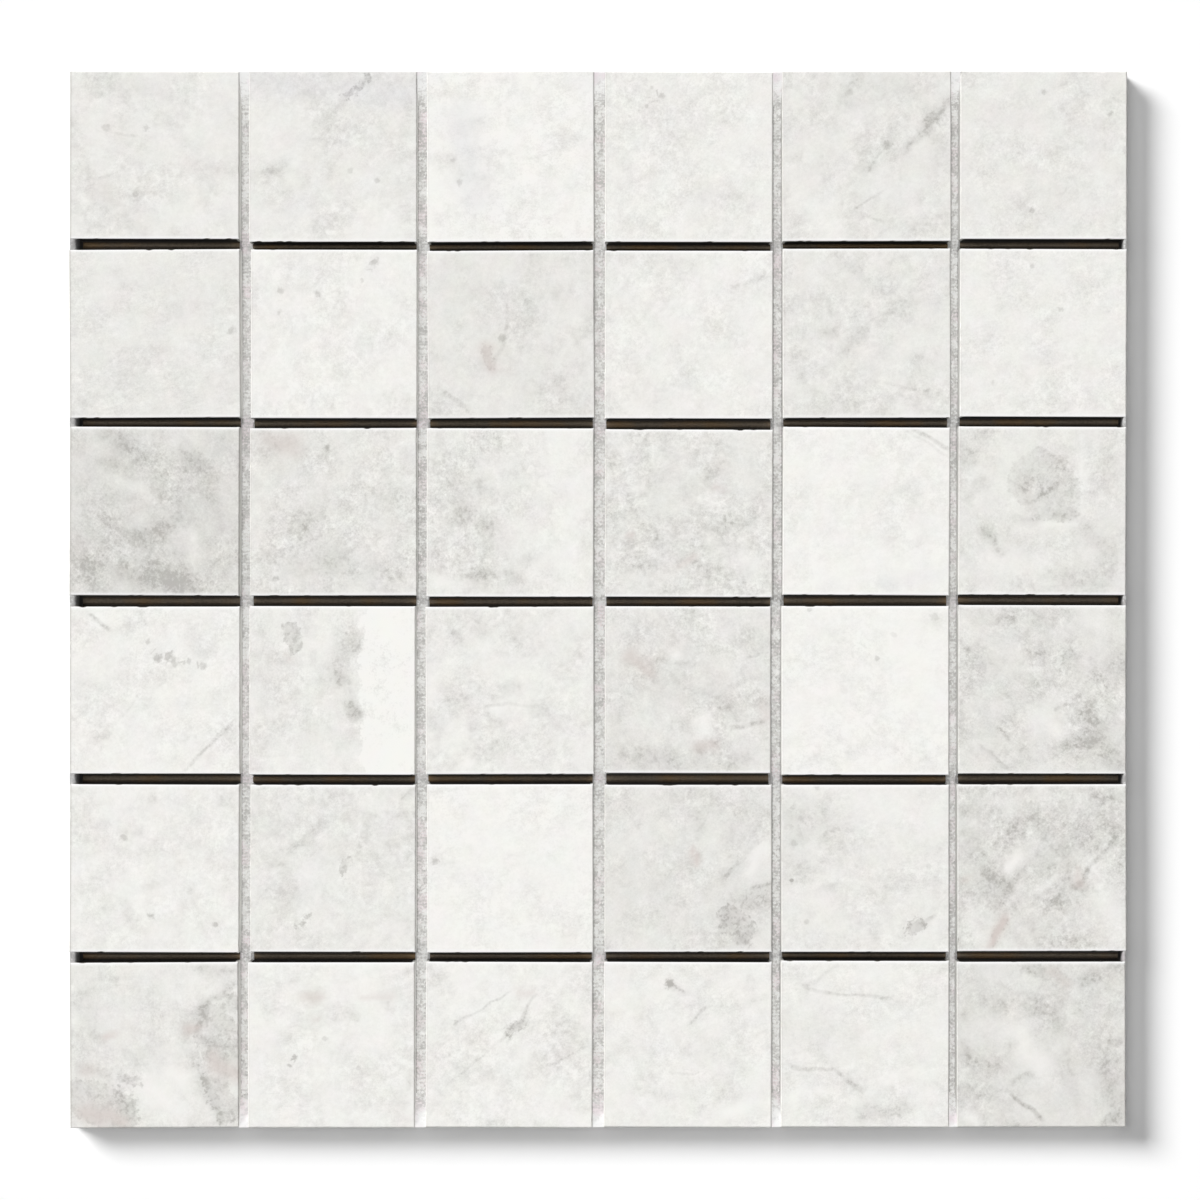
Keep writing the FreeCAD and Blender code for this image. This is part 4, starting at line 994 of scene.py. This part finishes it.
def makePaleGlue():
    # The glue where it dried thin and pale, with the weave of the mesh as faint ribs in it. It gives off a painted
    # glow, and is painted darker along the walls as shade
    material = bpy.data.materials.new("pale bedding glue")
    material.use_nodes = True
    tree = material.node_tree
    tree.nodes.clear()
    place = addNode(tree, "ShaderNodeTexCoord").outputs["Object"]
    fine = addNode(tree, "ShaderNodeTexNoise", {"Vector": place, "Scale": 1400.0, "Detail": 4.0}).outputs[0]
    blotches = addNode(tree, "ShaderNodeTexNoise", {
        "Vector": place, "Scale": 1 / glue["blotchSize"], "Detail": 3.0}).outputs[0]
    bead = addNode(tree, "ShaderNodeAttribute", attribute_name="bead").outputs["Vector"]
    ribs = addNode(tree, "ShaderNodeTexWave", {
        "Vector": bead, "Scale": 0.31416 / glue["ribSize"], "Distortion": 6.0, "Detail": 2.0,
        "Detail Scale": 2.0}, bands_direction="Y").outputs["Fac"]
    worn = addNode(tree, "ShaderNodeMath", {0: ribs, 1: 0.14, 2: fine}, operation="MULTIPLY_ADD").outputs[0]
    worn = addNode(tree, "ShaderNodeMath", {0: worn, 1: blotches}, operation="ADD").outputs[0]
    share = addNode(tree, "ShaderNodeMapRange", {
        "Value": worn, "From Min": 0.85, "From Max": 1.35}).outputs[0]
    shade, risen, through = addNode(tree, "ShaderNodeSeparateXYZ", {
        0: addNode(tree, "ShaderNodeAttribute", attribute_name="shade").outputs["Vector"]}).outputs
    grains = addNode(tree, "ShaderNodeMapRange", {
        "Value": fine, "From Min": 0.6, "From Max": 0.68}).outputs[0]
    share = addNode(tree, "ShaderNodeMath", {0: grains, 1: 0.7, 2: share}, operation="MULTIPLY_ADD").outputs[0]
    share = addNode(tree, "ShaderNodeMath", {0: share, 1: through}, operation="ADD", use_clamp=True).outputs[0]
    tints = addNode(tree, "ShaderNodeTexNoise", {"Vector": place, "Scale": 130.0, "Detail": 2.0}).outputs[0]
    light = addNode(tree, "ShaderNodeMix", {
        "Factor": addNode(tree, "ShaderNodeMapRange", {
            "Value": tints, "From Min": 0.5, "From Max": 0.65}).outputs[0],
        6: linear(glue["pale"]), 7: linear(glue["paleTint"])}, data_type="RGBA").outputs[2]
    colour = addNode(tree, "ShaderNodeMix", {
        "Factor": share, 6: linear(glue["paleShade"]), 7: light}, data_type="RGBA").outputs[2]
    ridge = addNode(tree, "ShaderNodeSeparateXYZ", {0: bead}).outputs["X"]
    # Painted shade: darker lines along the walls of the upright joints
    edge = addNode(tree, "ShaderNodeMapRange", {
        "Value": ridge, "From Min": 0.14, "From Max": 0.0, "To Max": glue["paleWallShade"]}).outputs[0]
    # Painted glow: emission, most deep down in the joints, plus the plugs' share of painted glow
    paintedGlow = addNode(tree, "ShaderNodeMapRange", {
        "Value": risen, "From Max": 0.9, "To Min": glue["paintedGlow"], "To Max": 0.0}).outputs[0]
    paintedGlow = addNode(tree, "ShaderNodeMath", {0: paintedGlow, 1: through}, operation="ADD").outputs[0]
    left = addNode(tree, "ShaderNodeMath", {
        0: 1.0, 1: addNode(tree, "ShaderNodeMath", {0: edge, 1: shade}, operation="MAXIMUM").outputs[0]},
        operation="SUBTRACT").outputs[0]
    colour = addNode(tree, "ShaderNodeVectorMath", {0: colour, 3: left}, operation="SCALE").outputs[0]
    facing = addNode(tree, "ShaderNodeVectorMath", {
        0: colour, 3: addNode(tree, "ShaderNodeMath", {0: 1.0, 1: through}, operation="SUBTRACT").outputs[0]},
        operation="SCALE").outputs[0]
    bump = addNode(tree, "ShaderNodeBump", {"Height": worn, "Distance": 0.08 * mm, "Strength": 0.25})
    shader = addNode(tree, "ShaderNodeBsdfPrincipled", {
        "Base Color": facing, "Roughness": 0.7, "IOR": 1.45, "Normal": bump.outputs[0],
        "Emission Color": colour, "Emission Strength": paintedGlow})
    addNode(tree, "ShaderNodeOutputMaterial", {"Surface": shader.outputs[0]})
    material.cycles.emission_sampling = "NONE"
    return material


def joinPieces(name, parts):
    # One plain mesh out of several, which are then removed
    shape = bmesh.new()
    for part in parts:
        shape.from_mesh(part.data)
    for face in shape.faces:
        face.material_index = 0
    mesh = bpy.data.meshes.new(name)
    shape.to_mesh(mesh)
    shape.free()
    mesh.materials.append(parts[0].data.materials[-1])
    for part in parts:
        bpy.data.objects.remove(part)
    piece = bpy.data.objects.new(name, mesh)
    scene.collection.objects.link(piece)
    return piece


def makeBeads():
    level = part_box("mesh_warp_threads")[1].z
    given = {"Length": 0.0, "Joint": 0.0, "Lean": 0.0, "Smooth Side": 0.0, "Overlap": glue["overlap"],
             "Level": glue["level"], "Rise": 0.0,
             "Place": (0.0, 0.0, 0.0), "Turn": 0.0, "Seed": 0.0, "Material": makeLevelJointShade()}
    tree = beadTree(given)
    dark, pale = [], []
    # Dark beads in the level joints, which paint their shade
    given["Rise"] = glue["darkRise"]
    for (row, column), (centre, _, sideX, sideY) in tilePlaces.items():
        if row == 6:
            continue
        below = tilePlaces[row + 1, column]
        high, low = centre.y - sideY / 2, below[0].y + below[3] / 2
        start = centre.x - sideX / 2 + (glue["leftEndGap"] if column == 1 else glue["endGap"])
        end = centre.x + sideX / 2 - (glue["rightEndGap"] if column == 6 else glue["endGap"])
        dark.append(runTree("bead", tree, dict(
            given, Length=end - start, Joint=high - low, Lean=glue["slump"] * (high + low) / 2,
            Place=((start + end) / 2, (high + low) / 2, level), Seed=float(len(dark) + 1))))
    given.update(Rise=glue["paleRise"], Turn=math.pi / 2, Material=paleGlue)
    for (row, column), (centre, _, sideX, sideY) in tilePlaces.items():
        if column == 6:
            continue
        after = tilePlaces[row, column + 1]
        low, high = centre.x + sideX / 2, after[0].x - after[2] / 2
        pitch = 51 * mm
        middle = (3.5 - row) * pitch
        ends = [middle - pitch / 2, middle + pitch / 2]
        if row in (1, 6):
            ends[row == 1] = (middle + (24 if row == 1 else -24) * mm)
        pale.append(runTree("bead", tree, dict(
            given, Length=ends[1] - ends[0], Joint=high - low, Lean=-glue["slump"] * (low + high) / 2,
            **{"Smooth Side": [1.0, 1.0, 0.4, 0.0, 0.0][column - 1]},
            Place=((low + high) / 2, (ends[0] + ends[1]) / 2, level), Seed=float(len(pale) + 101))))
    made = [joinPieces("levelJointShadeGlue", dark), joinPieces("uprightJointGlue", pale)]
    for piece in made:
        finishPiece(piece, "mesh_warp_threads")
    return made


tilePlaces = {key: laidAt(f"tile_r{key[0]}_c{key[1]}") for key in tileFaces}
paleGlue = makePaleGlue()
tiles = makeTiles()
print("tiles:", len(tiles), "with", sum(triangles(tile) for tile in tiles), "triangles")


# Backing mesh

mesh = {
    "Pitch": 4.25 * mm,         # twelve to a tile and joint, so that one lies under each joint
    "Length": 301.0 * mm,
    "Strand Width": 0.5 * mm,
    "Strand Thickness": 0.17 * mm,
    "Twist": 0.26 * mm,         # sideways swing of the two strands of a warp pair
    "Lift": 0.14 * mm,          # how far they pass over and under the weft
    "Stray": 0.12 * mm,         # how far a yarn wanders from its line
}


def lenoTree(sizes):
    # Leno weave: yarns side by side along X, each of one or two strands along Y. The two strands
    # of a warp pair swap sides between the weft yarns, and so hold them
    tree, given = newTree("leno yarns", sizes)

    def maths(operation, first, second=0.0, third=0.0):
        return addNode(tree, "ShaderNodeMath", {0: first, 1: second, 2: third},
                       operation=operation).outputs[0]

    step = maths("DIVIDE", given["Pitch"], given["Steps"])
    count = maths("ADD", maths("FLOOR", maths("DIVIDE", given["Length"], step)), 1.0)
    line = addNode(tree, "GeometryNodeMeshLine", {
        "Count": count,
        "Start Location": addNode(tree, "ShaderNodeCombineXYZ", {
            "Y": maths("MULTIPLY", maths("MULTIPLY", maths("SUBTRACT", count, 1.0), step), -0.5)}).outputs[0],
        "Offset": addNode(tree, "ShaderNodeCombineXYZ", {"Y": step}).outputs[0]}, mode="OFFSET")
    section = addNode(tree, "GeometryNodeCurvePrimitiveQuadrilateral", {
        "Width": given["Strand Width"], "Height": given["Strand Thickness"]}, mode="RECTANGLE")
    along = addNode(tree, "ShaderNodeSeparateXYZ",
                    {0: addNode(tree, "GeometryNodeInputPosition").outputs[0]}).outputs["Y"]
    phase = maths("MULTIPLY", maths("DIVIDE", along, given["Pitch"]), math.pi)
    joined = addNode(tree, "GeometryNodeJoinGeometry")
    for way in (1.0, -1.0):
        strand = addNode(tree, "GeometryNodeSetPosition", {
            "Geometry": line.outputs[0],
            "Offset": addNode(tree, "ShaderNodeCombineXYZ", {
                "X": maths("MULTIPLY", maths("SINE", phase), maths("MULTIPLY", given["Twist"], way)),
                "Z": maths("MULTIPLY", maths("COSINE", phase), maths("MULTIPLY", given["Lift"], way)),
            }).outputs[0]})
        curve = addNode(tree, "GeometryNodeMeshToCurve", {0: strand.outputs[0]})
        upright = addNode(tree, "GeometryNodeSetCurveNormal", {0: curve.outputs[0]}, mode="Z_UP")
        skin = addNode(tree, "GeometryNodeCurveToMesh", {
            "Curve": upright.outputs[0], "Profile Curve": section.outputs[0], "Fill Caps": True})
        tree.links.new(skin.outputs[0], joined.inputs[0])
    row = addNode(tree, "GeometryNodeMeshLine", {
        "Count": given["Count"],
        "Start Location": addNode(tree, "ShaderNodeCombineXYZ", {"X": given["First"]}).outputs[0],
        "Offset": addNode(tree, "ShaderNodeCombineXYZ", {"X": given["Pitch"]}).outputs[0]}, mode="OFFSET")
    yarns = addNode(tree, "GeometryNodeInstanceOnPoints", {
        "Points": row.outputs[0], "Instance": joined.outputs[0]})
    real = addNode(tree, "GeometryNodeRealizeInstances", {"Geometry": yarns.outputs[0]})
    stray = addNode(tree, "ShaderNodeTexNoise", {
        "Vector": addNode(tree, "GeometryNodeInputPosition").outputs[0],
        "W": given["Seed"], "Scale": 90.0, "Detail": 2.0}, noise_dimensions="4D")
    sway = addNode(tree, "ShaderNodeVectorMath", {
        0: addNode(tree, "ShaderNodeVectorMath", {0: stray.outputs["Color"], 1: (0.5, 0.5, 0.5)},
                   operation="SUBTRACT").outputs[0],
        1: addNode(tree, "ShaderNodeCombineXYZ", {
            "X": maths("MULTIPLY", given["Stray"], 4.0), "Y": 0.0, "Z": 0.0}).outputs[0]},
        operation="MULTIPLY")
    wandering = addNode(tree, "GeometryNodeSetPosition", {
        "Geometry": real.outputs[0], "Offset": sway.outputs[0]})
    laid = addNode(tree, "GeometryNodeTransform", {
        "Geometry": wandering.outputs[0],
        "Translation": addNode(tree, "ShaderNodeCombineXYZ", {"Z": given["Level"]}).outputs[0],
        "Rotation": addNode(tree, "ShaderNodeCombineXYZ", {"Z": given["Turn"]}).outputs[0]})
    dressed = addNode(tree, "GeometryNodeSetMaterial",
                      {"Geometry": laid.outputs[0], "Material": given["Material"]})
    addNode(tree, "NodeGroupOutput", {"Geometry": dressed.outputs[0]})
    return tree


yarnLook = {"resin": "#fdfcf9", "shade": "#eeece7", "roughness": 0.6, "fibreSize": 0.25}


def makeYarnMaterial(look):
    # Glass-fibre roving in a dried white resin: a silky off-white, with the filaments as fine lines
    material = bpy.data.materials.new("resin-coated glass fibre")
    material.use_nodes = True
    tree = material.node_tree
    tree.nodes.clear()
    place = addNode(tree, "ShaderNodeTexCoord").outputs["Object"]
    patches = addNode(tree, "ShaderNodeTexNoise", {
        "Vector": place, "Scale": 1 / (look["fibreSize"] * mm), "Detail": 3.0}).outputs[0]
    wide = addNode(tree, "ShaderNodeTexNoise", {"Vector": place, "Scale": 180.0, "Detail": 3.0}).outputs[0]
    blend = addNode(tree, "ShaderNodeMath", {0: patches, 1: wide}, operation="MULTIPLY").outputs[0]
    share = addNode(tree, "ShaderNodeMapRange", {"Value": blend, "From Min": 0.15, "From Max": 0.4}).outputs[0]
    colour = addNode(tree, "ShaderNodeMix", {
        "Factor": share, 6: linear(look["shade"]), 7: linear(look["resin"])}, data_type="RGBA").outputs[2]
    bump = addNode(tree, "ShaderNodeBump", {"Height": patches, "Distance": 0.05 * mm, "Strength": 0.6})
    shader = addNode(tree, "ShaderNodeBsdfPrincipled", {
        "Base Color": colour, "Roughness": look["roughness"], "IOR": 1.5, "Normal": bump.outputs[0]})
    addNode(tree, "ShaderNodeOutputMaterial", {"Surface": shader.outputs[0]})
    return material


def makeMesh():
    material = makeYarnMaterial(yarnLook)
    low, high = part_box("mesh_warp_threads")
    weftLow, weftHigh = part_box("mesh_weft_threads")
    middle = (weftLow.z + high.z) / 2
    count = int(round((high.x - low.x) / mesh["Pitch"])) + 1
    leftCount = count // 2
    first = -(count - 1) / 2 * mesh["Pitch"]
    given = dict(mesh, Steps=4, Count=leftCount, First=first, Level=middle, Turn=0.0, Seed=1.0,
                 Material=material)
    tree = lenoTree(given)
    left = runTree("warpYarnsLeft", tree, given)
    right = runTree("warpYarnsRight", tree, dict(
        given, Count=count - leftCount, First=first + leftCount * mesh["Pitch"], Seed=2.0))
    weft = runTree("weftYarns", tree, dict(
        given, Count=count, Turn=math.pi / 2, Steps=2, Twist=0.2 * mm, Lift=0.0, Seed=3.0))
    finishPiece(left, "mesh_warp_threads")
    finishPiece(right, "mesh_warp_threads")
    finishPiece(weft, "mesh_weft_threads")
    return [left, right, weft]


yarns = makeMesh()
print("mesh:", [triangles(piece) for piece in yarns], "triangles")
beads = makeBeads()
plugs = makePlugs()
print("glue:", [triangles(piece) for piece in beads + [plugs]], "triangles")

scene.view_settings.view_transform = "Standard"
bpy.context.view_layer.update()
